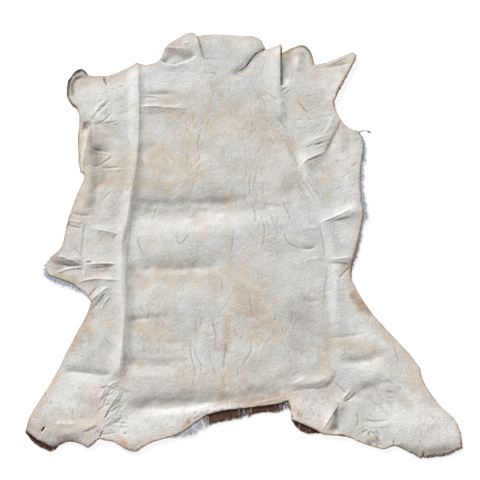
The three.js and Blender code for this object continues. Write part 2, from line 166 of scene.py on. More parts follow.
# How much of each colour the mottle lays over the cream on average, in the order that it is laid
MOTTLE = {"pale": 0.16, "tan": 0.08, "cool": 0.05, "shade": 0.02}

# Colour that the skin gets from its rim, and painted shade and painted highlight from its relief
PAINT_BOX_SHARE = 1.2
PAINT_PLATEAU = 1.15
RIM_PEACH = 0.30
RIM_PEACH_REACH = 20
RIM_PEACH_RAGGED = 7
RIM_SEARCH = 24
RIM_PINK = 0.15
RIM_PINK_SPREAD = 0.4
RIM_PINK_REACH = 2.2
RIM_RAGGED = 1.2
RIM_BROWN_PLATEAU = 1.35
RIM_DARK_PLATEAU = 1.2
RIM_DARK_NARROWING = 1.6
# Painted shade in hollows and painted highlight on crests; painted shade with grime in narrow troughs and
# painted highlight on narrow crests
HOLLOW_SHADE = 0.14
CREST_PALE = 0.20
LINE_DIRT_AND_SHADE = 0.50
LINE_PALE = 0.45

# The dense body of the hair
COAT_STEP = 9.0
COAT_GAP = 0.5
COAT_FLOOR = 1.6
COAT_LEAST_DEPTH = 0.6
COAT_REACH = 6

# How far its rows of rim points lie inside the skin's rim, and the most that this takes of the room there
COAT_INSET_TOP = 1.5
COAT_INSET_MIDDLE = 0.9
COAT_INSET_BOTTOM = 5.0
COAT_ROOM_TOP = 0.15
COAT_ROOM_MIDDLE = 0.1
COAT_ROOM_BOTTOM = 0.25

# How much the tint of single strands shows in it, and how dark its edge is
COAT_STRAND_SHARE = 0.55
COAT_EDGE_SHADE = 0.8

# How brown the coat is under the skin, and where it is white instead: on the belly's flanks
BACK_BROWN = 0.92
FLANK_WHITE = 0.9
BACK_MIDDLE = -40
BACK_HALF_WIDTH = 190
FLANK_EASE = 90
BELLY_MIDDLE = 20
BELLY_HALF_LENGTH = 320
BELLY_EASE = 160

# The strands of hair round the rim. Shaggy strands stand in clumps, and sleek ones lie in an even row.
HAIR_FLOW = (0.0, -1.0)
STRAND_COUNT = 12000
STRAND_PIECES = 2
STRAND_SIDES = 3
STRAND_FLATNESS = 0.8
STRAND_WIDTH = 0.62
STRAND_WIDTH_SPREAD = (0.7, 1.35)
STRAND_TAPER = (0.8, 1.0, 0.85, 0.6, 0.2)
SLEEK_TIP_WIDTH = 0.3

# How densely they stand: more so where the hair shows far, or lies sleek
LEAST_DENSITY = 0.25
DENSE_REACH = 9
MOST_REACH_DENSITY = 1.6
SLEEK_DENSITY = 1.8

# Where they point: outwards with a lean to the tail, more of it unless the rim faces the neck, and strays
LEAN = 0.25
LEAN_TAILWARD = 0.55
TAILWARD_FROM = -0.3
STRAY = 0.05
STRAY_SHAGGY = 0.12

# Clumps along the rim: how long, how blurred, and how far they swing to a side
CLUMP_LENGTH = 7.0
CLUMP_BLUR = 0.6
CLUMP_SWING = 0.35

# How far they show past the rim, how far inside it they are rooted, and the most that takes of the room
REACH_SPREAD = 0.42
SHORTENING_SPREAD = (-0.06, 0.45)
SHORTENING_SLEEK = 0.18
LEAST_COSINE = 0.35
ROOT_INSET_SPREAD = (2, 12)
ROOT_ROOM_SHARE = 0.3
TIP_ROOM_SHARE = 0.45
TIP_ROOM_MORE = 2

# How high they lie in the coat at the root and at the tip. White strands reach higher than brown ones.
LEVEL_BIAS = 0.6
ROOT_GAP = 0.3
ROOT_LEAST = 1.0
ROOT_BAND = 1.3
TIP_LEAST = 0.5
TIP_BROWN = 4.2
TIP_WHITE = 8.0
TIP_REACH = 12
TIP_REACH_RANGE = (0.3, 1.2)
TIP_WHITE_LEAST = 0.8

# How they curl to a side and bow upwards, and the least height over the floor
CURL = 0.03
CURL_SHAGGY = 0.07
LIFT = 0.8
LIFT_LENGTH = 25
LIFT_FROM = 0.3
STRAND_FLOOR = 0.35

# Their colours: brown clumps, the mixes of light and of deep tones, greyer tips, and painted shadow on the
# brown roots by the skin's edge
BROWN_PATCHES = 0.22
BROWN_FROM = 0.02
LIGHT_SPREAD = (0, 0.8)
DEEP_SPREAD = (-0.15, 0.85)
GREY_TIP = 0.45
ROOT_SHADE = 0.30
ROOT_SHADE_RISE = 0.80
ROOT_SHADE_SLOPE = 1.4
DARKEST_HAIR = 0.01

# A value that the strands of one clump share is read from the noise, in a row of its own
ClumpNoise = namedtuple("ClumpNoise", "spacing row seed")
CLUMP_SWAY = ClumpNoise(3.7, 11, 16)
CLUMP_REACH = ClumpNoise(5.3, 5, 17)
CLUMP_BROWN = ClumpNoise(4.1, 8, 18)
CLUMP_SIZE = 2

# The flat locks of the coat's face, underneath
LOCK_STEP = 11.5
LOCK_SHIFT = 2.2
LOCK_LENGTH = 30.0
LOCK_LENGTH_SPREAD = (0.75, 1.25)
LOCK_WIDTH = 8.5
LOCK_WIDTH_SPREAD = (0.7, 1.3)
LOCK_TAPER = (0.55, 1.0, 0.95, 0.65, 0.1)
LOCK_SIDES = 4
LOCK_FLATNESS = 0.12
LOCK_EDGE = 5

# Where they point: tailwards, splayed to the sides from the middle out, and strays
LOCK_SPLAY = 0.55
LOCK_SPLAY_FROM = 180
LOCK_SPLAY_EASE = 200
LOCK_STRAY = 0.10
LOCK_CURL = 0.07

# A lock that ends past the rim is shortened to this share, so many times, and then left out
LOCK_SHORTENING = 0.6
LOCK_TRIES = 3

# Their heights at the root and at the tip, and how early they come down
LOCK_ROOT = 2.2
LOCK_ROOT_SPREAD = (-0.3, 0.3)
LOCK_TIP = 0.55
LOCK_TIP_SPREAD = (-0.15, 0.25)
LOCK_DROP = 1.2
LOCK_FLOOR = 0.05

# How far a brown strand of the coat or its locks goes towards the dark one
COAT_DEEP_SPREAD = (-0.35, 1)

# The dried string: its mesh, its twist in half turns, how flat, rough and brown it is, and how far the skin's
# outline keeps from it, apart from its first points, where it grows from the skin
STRING_STEP = 1.2
STRING_SIDES = 8
STRING_TWIST = 2.6
STRING_FLATNESS = 0.28
STRING_CRUMPLE = (3, 3, 5)
STRING_BROWN = 0.25
STRING_ROUGHNESS = 0.2
STRING_TONE = 0.25
STRING_FLOOR = 0.1
STRING_CLEARANCE = 4.0
STRING_ROOT_POINTS = 3

# The camera stands where the photograph was taken from
CAMERA_TARGET = (-9.2, -31.5, 0.0)
CAMERA_ELEVATION = 70
CAMERA_DISTANCE = 2200
CAMERA_LENS = 66.1
CAMERA_SENSOR = 36

# One broad key light low on the upper left, and an even fill from all round
KEY_HEADING = 121
KEY_ELEVATION = 31
KEY_SPREAD = 26
KEY_STRENGTH = 4.68
KEY_DISTANCE = 3
FILL_STRENGTH = 0.275

# The floor: half its width in metres, its two greys in linear light, the noise between them in hills a metre
# with its detail and roughness, and its finish with the light that it gives off itself
FLOOR_HALF = 8.0
FLOOR_TONES = (0.20, 0.22)
FLOOR_NOISE = (1.5, 2, 0.55)
FLOOR_FINISH = {
    "Roughness": 0.9,
    "Specular IOR Level": 0.1,
    "Emission Color": (1, 1, 1, 1),
    "Emission Strength": 0.86,
}

# sRGB colours, 0 to 255
COLOURS = {
    "cream": (207, 207, 204),
    "pale": (228, 228, 226),
    "tan": (192, 175, 150),
    "peach": (214, 190, 172),
    "pink": (186, 150, 128),
    "cool": (204, 209, 212),
    # The shade and line colours are laid as painted shade in hollows, narrow troughs and shaded places; shade
    # also serves the random mottle
    "shade": (150, 148, 142),
    "line": (122, 112, 100),
    # This colour serves real stains and streaks, and painted shade at the belly's tip, in the star's wedge and
    # below the right ledge and rib
    "dirt": (150, 126, 100),
    "rust": (176, 122, 74),
    "red": (142, 74, 54),
    "brown": (112, 80, 56),
    "dark": (52, 40, 33),
    "white hair": (244, 246, 252),
    "grey hair": (174, 187, 222),
    "brown hair": (146, 86, 48),
    "dark hair": (58, 40, 29),
}

# The middle range of a noise texture's values
MIDDLE_NOISE = (0.3, 0.7)

# Fine tone in the leather: noise in hills a metre, drawn out along the hide or not, and the range of noise
# that goes from the first share to the last
Tone = namedtuple("Tone", "name drawn_out scale detail roughness low high first last")
LEATHER_TONES = table(Tone, [
    ("mottle", False, 40, 5, 0.65, 0.40, 0.72, 0.0, 0.26),
    ("streak", True, 150, 4, 0.6, 0.50, 0.78, 0.0, 0.34),
    ("fleck", False, 120, 3, 0.6, 0.52, 0.76, 0.0, 0.36),
    ("blotch", False, 24, 3, 0.6, 0.3, 0.7, 0.94, 1.05),
    ("grain", False, 300, 3, 0.7, 0.3, 0.7, 0.88, 1.10),
    ("polish", False, 70, 3, 0.55, 0.3, 0.7, 0.62, 0.84),
])

# The leather's pores and fibres, with their depth in metres
Bump = namedtuple("Bump", "name drawn_out scale detail roughness depth strength")
LEATHER_BUMPS = table(Bump, [
    ("dimples", False, 55, 4, 0.6, 0.0030, 0.28),
    ("pores", False, 170, 4, 0.65, 0.0022, 0.50),
    ("fibres", True, 420, 3, 0.7, 0.0012, 0.80),
])
LEATHER_DRAWN_OUT = (1.0, 0.3, 1.0)
LEATHER_FINISH = {"Sheen Weight": 0.08, "Sheen Roughness": 0.5, "Specular IOR Level": 0.32}

# Streaks along the hair: noise in hills a metre, how dark they get, and how deep they are in metres
HairLook = namedtuple("HairLook", "name scale darkest depth")
COAT_LOOK = HairLook("deer_hair", 900, 0.5, 0.0012)
STRAND_LOOK = HairLook("deer_hair_strand", 300, 0.25, 0)
HAIR_STREAK_DETAIL = 4
HAIR_STREAK_ROUGHNESS = 0.6
HAIR_BUMP_STRENGTH = 0.7
HAIR_DRAWN_OUT = (1.0, 0.12, 1.0)
HAIR_FINISH = {"Roughness": 0.55, "Specular IOR Level": 0.35, "Sheen Weight": 0.1}

# The routes of the two slits in the neck's edge, from the edge to the foot
COLLAR_SLIT = [(-125, 555), (-116, 527), (-106, 480)]
NECK_SLIT = [(60, 516), (37, 497), (20, 476), (4, 453), (-30, 431)]

# Creases and small folds. A route's port side is its left hand as it runs, and starboard its right.
# A rise below zero is a trough, and a row whose route lies on the rim rolls that edge up or down.
Crease = namedtuple("Crease", "name rise port starboard fade route")
CREASES = table(Crease, [
    ("shoulder ray 1", -2.3, 6, 11, 22, [(-399, 293), (-387, 316), (-372, 334), (-350, 359)]),
    ("shoulder ray 1 crest", 1.1, 9, 5, 20, [(-391, 325), (-377, 342), (-358, 362)]),
    ("shoulder ray 2", -2.2, 6, 8, 22, [(-398, 284), (-375, 290), (-362, 298), (-346, 319)]),
    ("shoulder ray 3", -1.3, 4, 6, 24, [(-394, 281), (-361, 288), (-322, 296)]),
    ("shoulder drop", -1.8, 5, 12, 20, [(-398, 297), (-396, 272), (-393, 249), (-394, 212)]),
    ("shoulder pocket", -2.6, 9, 8, 16, [(-405, 297), (-414, 280), (-420, 252)]),
    ("elbow strip crest", 2.0, 8, 8, 30, [(-404, 262), (-409, 217), (-413, 183), (-412, 138)]),
    ("elbow crease 1", -1.5, 4, 7, 14, [(-397, 221), (-378, 214), (-361, 212)]),
    ("elbow crease 1 crest", 1.2, 5, 6, 14, [(-388, 206), (-362, 206), (-337, 197)]),
    ("elbow crease 2", -1.7, 5, 6, 18, [(-391, 166), (-373, 170), (-356, 181), (-334, 197)]),
    ("elbow crease 3", -1.7, 3.5, 5, 16, [(-365, 165), (-342, 162), (-314, 164)]),
    ("elbow crease 3 crest", 1.1, 4, 6, 20, [(-359, 157), (-329, 157), (-294, 158)]),
    ("shoulder short wrinkle", -0.9, 3, 4, 14, [(-302, 254), (-296, 232), (-287, 212)]),
    ("shoulder low hollow", -0.7, 14, 16, 24, [(-374, 244), (-341, 250), (-300, 236)]),
    ("shoulder band 1", -2.2, 14, 16, 30, [(-271, 371), (-247, 374), (-215, 375), (-181, 375)]),
    ("shoulder band 2", 3.2, 14, 36, 26, [(-272, 336), (-241, 339), (-199, 336), (-151, 332)]),
    ("shoulder band 2 edge", 1.4, 3.5, 6, 26, [(-276, 335), (-241, 338), (-199, 335), (-158, 332)]),
    ("left band 2", -1.7, 5, 6, 18, [(-270, 360), (-247, 366), (-222, 360)]),
    ("collar slit lip", 1.5, 7, 0.01, 16, COLLAR_SLIT),
    ("collar slit bed", -2.2, 0.01, 8, 16, COLLAR_SLIT),
    ("collar hollow", -6.0, 27, 7, 20, [
        (-224, 477), (-205, 472), (-186, 466), (-165, 474), (-144, 486), (-125, 498),
    ]),
    ("collar hollow edge", 1.6, 4, 3, 14, [(-209, 519), (-182, 517), (-155, 514)]),
    ("collar bump", 1.4, 8, 8, 10, [(-163, 530), (-145, 536)]),
    ("left ridge", 0.8, 5, 9, 40, [
        (-283, 467), (-279, 403), (-274, 329), (-272, 270), (-273, 213), (-275, 167), (-279, 128), (-285, 89),
        (-289, 46), (-292, 8), (-299, -24), (-302, -61), (-301, -113), (-298, -164), (-292, -202),
        (-289, -240),
        (-288, -289), (-291, -318), (-291, -349), (-292, -375),
    ]),
    ("neck slit lip", 2.2, 7, 0.01, 18, NECK_SLIT),
    ("neck slit bed", -3.0, 0.01, 20, 18, NECK_SLIT),
    ("recess left wall", -7.5, 27, 0.01, 14, [(101, 520), (100, 450), (99, 395)]),
    ("recess crease 1", -1.6, 4, 5, 8, [(99, 379), (110, 391), (121, 400)]),
    ("recess crease 2", -1.4, 3, 4, 8, [(107, 373), (118, 382), (126, 391)]),
    ("neck wrinkle 1", -1.1, 4, 4, 16, [(-127, 321), (-132, 298), (-125, 273)]),
    ("neck wrinkle 2", -1.2, 4, 4, 18, [(-113, 271), (-115, 243), (-124, 218)]),
    ("neck wrinkle 3", -1.0, 4, 4, 20, [(-104, 207), (-117, 183), (-133, 156)]),
    ("neck wrinkle 4", 0.8, 4, 4, 18, [(20, 359), (28, 328), (27, 299)]),
    ("neck wrinkle 5", -0.8, 3, 4, 18, [(23, 303), (23, 247)]),
    ("neck wrinkle 6", -1.2, 4, 5, 12, [(94, 303), (103, 287), (115, 270)]),
    ("neck wrinkle 7", -0.9, 4, 5, 14, [(68, 277), (84, 263), (107, 245)]),
    ("neck wrinkle 8", -1.0, 3, 4, 14, [(143, 353), (156, 334), (170, 315)]),
    ("neck wrinkle 9", -1.1, 4, 4, 16, [(119, 214), (132, 186), (143, 159)]),
    ("neck wrinkle 10", -0.8, 3, 4, 12, [(54, 359), (62, 320)]),
    ("neck wrinkle 11", -1.2, 4, 4, 16, [(61, 379), (78, 363), (94, 347)]),
    ("neck cross line 1", -0.8, 3, 3, 8, [(-109, 480), (-87, 483), (-68, 480)]),
    ("neck cross line 2", -0.8, 3, 3, 8, [(-106, 458), (-87, 461), (-71, 455)]),
    ("neck cross line 3", -0.8, 3, 3, 8, [(-108, 434), (-89, 437), (-68, 434)]),
    ("flank diagonal", -1.3, 3.5, 4, 12, [(266, -103), (248, -118), (230, -139)]),
    ("neck fold shade", -0.6, 9, 9, 14, [(34, 372), (72, 369)]),
    ("armpit valley", -2.2, 16, 9, 22, [(258, 305), (243, 270), (226, 233), (210, 201)]),
    ("armpit crest", 1.6, 12, 8, 26, [(237, 318), (222, 280), (206, 250)]),
    ("shoulder fan 1", 0.9, 4, 4.5, 16, [(175, 239), (203, 248), (232, 262)]),
    ("shoulder fan 2", 0.9, 4, 4.5, 16, [(173, 227), (200, 236), (227, 248)]),
    ("shoulder fan 3", 1.1, 4, 4.5, 18, [(165, 209), (192, 221), (221, 231)]),
    ("shoulder fan 4", 1.6, 5, 5, 22, [(142, 162), (165, 184), (192, 198), (218, 213)]),
    ("shoulder fan 5", -1.2, 4, 4, 14, [(160, 177), (186, 189), (205, 194)]),
    ("shoulder fan bend", -1.1, 3.5, 3.5, 14, [(193, 182), (201, 161), (211, 139)]),
    ("left strip valley", -4.8, 60, 30, 40, [
        (-380, 236), (-372, 184), (-369, 134), (-371, 87), (-380, 51), (-390, 21),
    ]),
    ("left tick 1", -1.1, 3.5, 3.5, 12, [(-360, 70), (-346, 86), (-330, 100)]),
    ("left tick 2", -1.1, 3.5, 3.5, 10, [(-298, 90), (-291, 105), (-284, 120)]),
    ("left flank valley", -1.8, 10, 9, 20, [(-437, 38), (-406, 31), (-377, 31)]),
    ("left flank crest", 1.4, 7, 6, 14, [(-440, 20), (-417, 12), (-398, 13)]),
    ("left flank nick", -2.0, 4, 5, 12, [(-441, 5), (-421, -1), (-403, -4)]),
    ("left upright crease", -1.1, 5, 5, 22, [(-397, 8), (-399, -35), (-401, -84)]),
    ("left ledge crest", 1.8, 4, 6, 20, [(-378, -5), (-343, -12), (-307, -21)]),
    ("star upper ray", 2.6, 6, 5, 16, [(-458, -77), (-428, -88), (-396, -102)]),
    ("star wedge", -3.2, 9, 7, 14, [(-462, -97), (-428, -103), (-398, -103)]),
    ("star lower ray", 2.6, 6, 6, 16, [(-460, -122), (-427, -110), (-393, -106)]),
    ("star right ray", 2.6, 4.5, 6, 26, [(-392, -100), (-354, -98), (-308, -97)]),
    ("star right trough", -0.9, 5, 5, 22, [(-386, -111), (-348, -108), (-312, -101)]),
    ("star down ray", 1.5, 5, 5, 12, [(-392, -103), (-388, -142)]),
    ("star up ray", -1.5, 5, 5, 14, [(-394, -94), (-404, -72), (-422, -57)]),
    ("belly ridge", 2.2, 6, 6, 30, [(-409, -147), (-381, -139), (-351, -137), (-294, -142)]),
    ("belly rim crease", -2.6, 5, 5, 16, [(-477, -131), (-449, -142), (-404, -157)]),
    ("thigh ray 1", -2.2, 4, 4.5, 12, [(-378, -186), (-367, -170), (-354, -155)]),
    ("thigh ray 2", 2.2, 4.5, 4.5, 14, [(-372, -195), (-352, -175), (-329, -156)]),
    ("thigh ray 3", -2.0, 4, 4.5, 12, [(-359, -208), (-346, -188), (-334, -171)]),
    ("thigh ray 4", 1.6, 4, 4.5, 12, [(-347, -216), (-336, -195), (-323, -178)]),
    ("thigh ray hollow", -1.8, 8, 8, 14, [(-372, -219), (-352, -200)]),
    ("left rib bend", -1.0, 4, 4, 24, [(-263, -12), (-260, -43), (-249, -72), (-248, -100)]),
    ("lower loin band", -2.0, 15, 44, 30, [(-286, -250), (-267, -240), (-238, -235), (-183, -232)]),
    ("left tick 3", -1.0, 3.5, 3.5, 14, [(-233, 8), (-225, 29), (-220, 55)]),
    ("middle band", -4.8, 24, 84, 60, [(-287, 58), (-236, 57), (-173, 57), (-97, 57), (3, 67)]),
    ("middle band right", -1.2, 12, 14, 30, [(40, 62), (108, 52)]),
    ("middle line 1", -1.0, 3.5, 4, 20, [(14, 141), (16, 105), (16, 77)]),
    ("loin band", -2.4, 26, 46, 50, [(-297, -108), (-230, -109), (-157, -111), (-78, -105)]),
    ("middle line 2", -1.2, 4, 4, 22, [(16, 71), (28, 42), (31, 0)]),
    ("middle line 3", -1.1, 4, 4, 24, [(42, 28), (53, -9), (45, -65)]),
    ("middle hook", -1.1, 3, 3.5, 12, [(-166, -20), (-160, -46), (-148, -41), (-133, -18)]),
    ("middle line 4", -0.9, 3.5, 3.5, 16, [(-22, -12), (-27, -41), (-32, -74)]),
    ("middle line 5", -1.2, 4, 5, 22, [(98, 74), (111, 39), (122, 8)]),
    ("right fan 1", -1.0, 4, 4, 24, [(145, 138), (166, 99), (188, 59)]),
    ("right fan 2", -0.9, 3.5, 3.5, 20, [(156, 140), (174, 108), (194, 78)]),
    ("right fan 3", -0.9, 3.5, 3.5, 20, [(137, 124), (153, 88), (173, 56)]),
    ("right bend", -1.3, 4, 5, 18, [(99, -12), (112, -43), (144, -60)]),
    ("right hollow", -2.2, 12, 8, 14, [(142, -56), (162, -58), (182, -51)]),
    ("right hollow crest", 1.2, 12, 11, 16, [(146, -4), (188, -2)]),
    ("right hollow lip", 1.2, 10, 10, 16, [(149, -89), (190, -82)]),
    ("middle line 6", -0.8, 3.5, 3.5, 14, [(-53, -135), (-51, -175)]),
    ("middle line 7", -1.1, 4, 4, 26, [(15, -172), (17, -205), (23, -243)]),
    ("middle tick", -0.9, 3.5, 3.5, 10, [(-140, 17), (-119, 35)]),
    ("right low hollow", -1.4, 12, 8, 12, [(144, -187), (163, -192), (180, -190)]),
    ("right ledge crest", 1.9, 5, 4, 24, [(189, 8), (229, 25), (273, 48)]),
    ("right ledge hollow", -1.3, 4, 14, 22, [(216, 12), (244, 19), (274, 28)]),
    ("right seam 1", -1.2, 4, 5, 24, [(186, 8), (193, -16), (199, -45), (202, -79)]),
    ("right seam crest", 0.9, 4, 5, 24, [(193, 3), (200, -24), (206, -56), (208, -82)]),
    ("right seam 2", -1.0, 4, 5, 24, [(205, -92), (204, -126), (198, -164), (199, -200)]),
    ("right rib crest", 1.9, 5, 4, 20, [(208, -86), (235, -86), (265, -81)]),
    ("right rib hollow", -1.6, 4, 22, 14, [(208, -95), (237, -96), (266, -101)]),
    ("right rib line", -1.2, 3, 4, 12, [(230, -139), (248, -121), (264, -103)]),
    ("right tick", -0.9, 3.5, 3.5, 10, [(260, 77), (250, 51)]),
    ("left leg trough", -2.3, 18, 11, 26, [(-424, -364), (-377, -367), (-334, -373), (-306, -368)]),
    ("left leg tick", -1.0, 3.5, 3.5, 10, [(-334, -280), (-324, -294), (-315, -306)]),
    ("rump band", -3.0, 22, 30, 36, [(-288, -345), (-257, -347), (-222, -351), (-156, -352)]),
    ("tail band", -4.4, 40, 24, 50, [
        (-274, -457), (-237, -451), (-167, -445), (-91, -438), (-9, -427),
    ]),
    ("crumple crest 1", 1.7, 3.7, 3.7, 18, [(-291, -386), (-321, -402), (-340, -437)]),
    ("crumple trough 1", -1.6, 3.1, 3.7, 16, [(-290, -399), (-313, -409), (-327, -445)]),
    ("crumple crest 2", 1.1, 3.1, 3.1, 16, [(-285, -407), (-300, -430), (-318, -455)]),
    ("crumple trough 2", -1.4, 3.1, 3.1, 18, [(-278, -410), (-293, -437), (-311, -453), (-325, -482)]),
    ("crumple crest 3", 1.0, 2.8, 2.8, 16, [(-307, -441), (-318, -460), (-329, -484)]),
    ("crumple trough 3", -1.0, 2.8, 2.8, 16, [(-268, -428), (-286, -448), (-298, -471)]),
    ("crumple crest 4", 1.1, 2.5, 2.5, 12, [(-272, -443), (-287, -460)]),
    ("crumple short 1", -1.6, 3.5, 3.5, 8, [(-296, -482), (-270, -487)]),
    ("crumple short 2", -1.6, 3.5, 3.5, 8, [(-290, -494), (-268, -495)]),
    ("crumple pit", -2.6, 6, 6, 6, [(-277, -511), (-268, -508)]),
    ("crumple line 1", -1.8, 2.6, 3, 8, [(-335, -436), (-322, -422), (-304, -418)]),
    ("crumple line 2", -1.8, 2.6, 3, 8, [(-341, -460), (-326, -446), (-307, -441)]),
    ("crumple line 3", -1.6, 2.6, 3, 8, [(-324, -478), (-311, -460), (-293, -450)]),
    ("crumple line 4", -1.6, 2.6, 3, 8, [(-314, -496), (-296, -480), (-278, -471)]),
    ("crumple line 5", 1.4, 2.6, 3, 8, [(-330, -494), (-314, -485), (-303, -473)]),
    ("crumple line 6", -1.8, 2.6, 3, 8, [(-341, -503), (-322, -510), (-302, -508)]),
    ("crumple line 7", -1.5, 2.6, 3, 8, [(-337, -406), (-319, -401), (-297, -411)]),
    ("left foot tick", -1.0, 3, 3, 10, [(-397, -450), (-396, -481)]),
    ("left foot swell", 2.4, 15, 14, 24, [(-440, -489), (-406, -487), (-370, -492)]),
    ("left foot hollow", -2.0, 7, 8, 16, [(-372, -509), (-350, -499), (-331, -489)]),
    ("left foot roll", -3.4, 26, 26, 26, [(-478, -529), (-446, -547), (-410, -534), (-366, -536)]),
    ("rump wrinkle 1", -1.3, 3.5, 4, 24, [(-78, -230), (-69, -267), (-66, -307)]),
    ("rump wrinkle 2", -1.3, 4, 4, 28, [(-126, -286), (-125, -326), (-115, -359), (-117, -391)]),
    ("rump wrinkle 3", -1.0, 3.5, 3.5, 18, [(-120, -311), (-106, -340), (-90, -361)]),
    ("rump wrinkle 4", -0.9, 3.5, 3.5, 16, [(-84, -331), (-73, -354), (-62, -380)]),
    ("rump wrinkle 5", -1.2, 4, 4, 22, [(19, -286), (17, -316), (-2, -350)]),
    ("rump wrinkle 6", 0.9, 4, 4, 14, [(59, -279), (46, -299), (40, -318)]),
    ("rump wrinkle 7", -1.5, 6, 6, 20, [(-43, -296), (-45, -330), (-49, -365)]),
    ("rump wrinkle 8", -0.8, 3.5, 3.5, 12, [(-14, -354), (-14, -386)]),
    ("rump wrinkle 9", -1.0, 4, 4, 10, [(-8, -295), (-1, -270)]),
    ("rump wrinkle 10", -0.8, 3.5, 3.5, 12, [(23, -237), (33, -268)]),
    ("haunch wrinkle 1", -1.3, 3, 3, 8, [(129, -453), (123, -478)]),
    ("haunch wrinkle 2", -1.3, 3, 3, 8, [(137, -457), (130, -480)]),
    ("tail lip", 1.0, 8, 6, 20, [(17, -441), (60, -433), (100, -424)]),
    ("right curl crest", 0.8, 9, 7, 26, [(98, -404), (127, -389), (160, -374)]),
    ("right curl", -1.1, 9, 12, 22, [(104, -413), (141, -406), (187, -403), (209, -385), (216, -358)]),
    ("right curl wrinkle", -1.1, 4, 4, 8, [(110, -377), (133, -363)]),
    ("right hind arc", -0.8, 20, 20, 36, [
        (198, -308), (223, -331), (256, -341), (299, -335), (356, -314),
    ]),
    ("right hind top", -1.2, 10, 12, 26, [(202, -283), (249, -280), (296, -271)]),
    ("right hind crest", 0.7, 20, 22, 40, [(214, -365), (255, -353), (303, -343), (370, -320)]),
    ("right hind band", -0.9, 16, 20, 40, [
        (229, -435), (255, -421), (286, -404), (338, -390), (380, -372),
    ]),
    ("right hind tick", -1.5, 4, 4, 12, [(213, -390), (229, -406), (243, -420)]),
    ("pleat left edge", 1.6, 3, 6, 12, [(226, -434), (207, -462), (180, -501)]),
    ("pleat right edge", -4.6, 0.01, 26, 14, [(225, -436), (219, -462), (219, -510)]),
    ("pleat top", -1.8, 4, 5, 8, [(228, -433), (250, -440)]),
    ("right leg crease", -1.2, 5, 7, 22, [(269, -474), (300, -481), (342, -477)]),
    ("right leg crease crest", 0.9, 6, 6, 22, [(272, -487), (300, -493), (342, -490)]),
    ("second pleat left", -1.8, 4, 6, 8, [(269, -510), (279, -503), (288, -501)]),
    ("second pleat right", -3.4, 0.01, 16, 10, [(295, -501), (306, -519), (318, -539)]),
    ("second pleat middle 1", -1.8, 3, 3, 6, [(293, -499), (288, -512)]),
    ("second pleat middle 2", -1.4, 3, 3, 6, [(283, -503), (290, -514)]),
    ("curl shade", -1.1, 10, 14, 26, [(92, -404), (131, -401), (171, -397), (202, -383)]),
    ("right knee crest", 2.2, 5, 5, 10, [(229, -429), (241, -418), (248, -406)]),
    ("right knee trough", -2.4, 4, 6, 10, [(235, -436), (252, -425), (264, -413)]),
    ("second pleat bed", -2.4, 14, 12, 10, [(283, -534), (300, -532)]),
    ("right leg bend", -1.3, 4, 4, 10, [(259, -460), (265, -478), (257, -499)]),
    ("right thigh line", -1.2, 4, 4, 18, [(356, -298), (363, -326), (366, -355)]),
    ("right foot roll", -3.6, 28, 26, 30, [(345, -552), (391, -562), (439, -566), (492, -552)]),
    ("right foot notch", -2.2, 4, 4, 8, [(344, -522), (345, -544)]),
    ("right leg line", -1.0, 4, 4, 12, [(308, -397), (316, -431)]),
    ("left foreleg roll", 4.4, 9, 9, 26, [
        (-439, 333), (-452, 344), (-463, 360), (-467, 384), (-465, 406), (-461, 427), (-450, 439),
        (-430, 449),
        (-420, 439),
    ]),
    ("left foreleg dip", -2.8, 7, 13, 20, [(-449, 366), (-452, 401), (-443, 421), (-424, 428)]),
    ("right lobe swell", 4.6, 27, 19, 26, [(148, 520), (147, 483), (142, 440)]),
    ("right foreleg rim", 1.6, 6, 7, 24, [(180, 454), (235, 468), (285, 494)]),
    ("right foreleg dip", -1.4, 9, 9, 24, [(215, 452), (255, 462), (286, 470)]),
])

# Families of short wrinkles: each is spread over a patch and runs roughly one way.
Wrinkles = namedtuple("Wrinkles", "name x y half_x half_y heading spread count length depth")
WRINKLES = table(Wrinkles, [
    ("neck", -30, 420, 90, 60, -95, 18, 19, 29, 0.5),
    ("left neck", -120, 230, 30, 90, -98, 12, 16, 27, 0.6),
    ("spine", -10, 200, 60, 150, -93, 14, 29, 34, 0.45),
    ("right shoulder", 190, 330, 50, 60, 12, 12, 16, 29, 0.4),
    ("right fan", 190, 225, 30, 25, 22, 7, 13, 31, 0.35),
    ("right neck", 100, 290, 60, 70, -60, 16, 19, 22, 0.55),
    ("left shoulder", -335, 340, 45, 60, 10, 12, 16, 26, 0.5),
    ("left side", -340, 60, 40, 110, 48, 14, 16, 19, 0.5),
    ("right side", 165, 120, 32, 70, -62, 9, 19, 34, 0.5),
    ("right belly", 265, 150, 32, 90, 40, 25, 16, 20, 0.45),
    ("lower spine", -70, -310, 60, 90, -86, 12, 26, 36, 0.5),
    ("left loin", -215, -260, 50, 60, -75, 25, 13, 22, 0.45),
    ("right loin", 110, -290, 80, 80, -80, 22, 19, 24, 0.45),
    ("left thigh", -370, -310, 40, 60, -50, 15, 13, 20, 0.5),
    ("left foot", -420, -440, 45, 55, -75, 20, 16, 20, 0.5),
    ("crumple", -300, -450, 26, 50, -122, 14, 22, 20, 0.5),
    ("crumple cross", -300, -445, 28, 50, -35, 22, 22, 18, 0.5),
    ("crumple across", -292, -492, 24, 18, 8, 14, 10, 14, 0.5),
    ("right haunch", 150, -450, 40, 25, -80, 14, 13, 19, 0.6),
    ("second pleat", 292, -520, 24, 16, -60, 22, 13, 20, 0.8),
    ("right leg", 330, -430, 50, 50, -20, 25, 19, 24, 0.5),
    ("right foot", 430, -500, 40, 30, -70, 20, 16, 20, 0.45),
    ("rump rim", -110, -465, 30, 14, 40, 12, 13, 17, 0.6),
    ("belly middle", 60, -20, 40, 60, -84, 10, 16, 29, 0.45),
])

# Short cuts right through the skin: centre, length, width and heading in degrees
Cut = namedtuple("Cut", "name x y length width heading")
CUTS = table(Cut, [
    ("shoulder cut", -367, 412, 26, 2.2, -66),
    ("foot cut", -328, -511, 15, 1.8, -110),
    ("foot hole", -462, -499, 13, 3.6, 58),
])
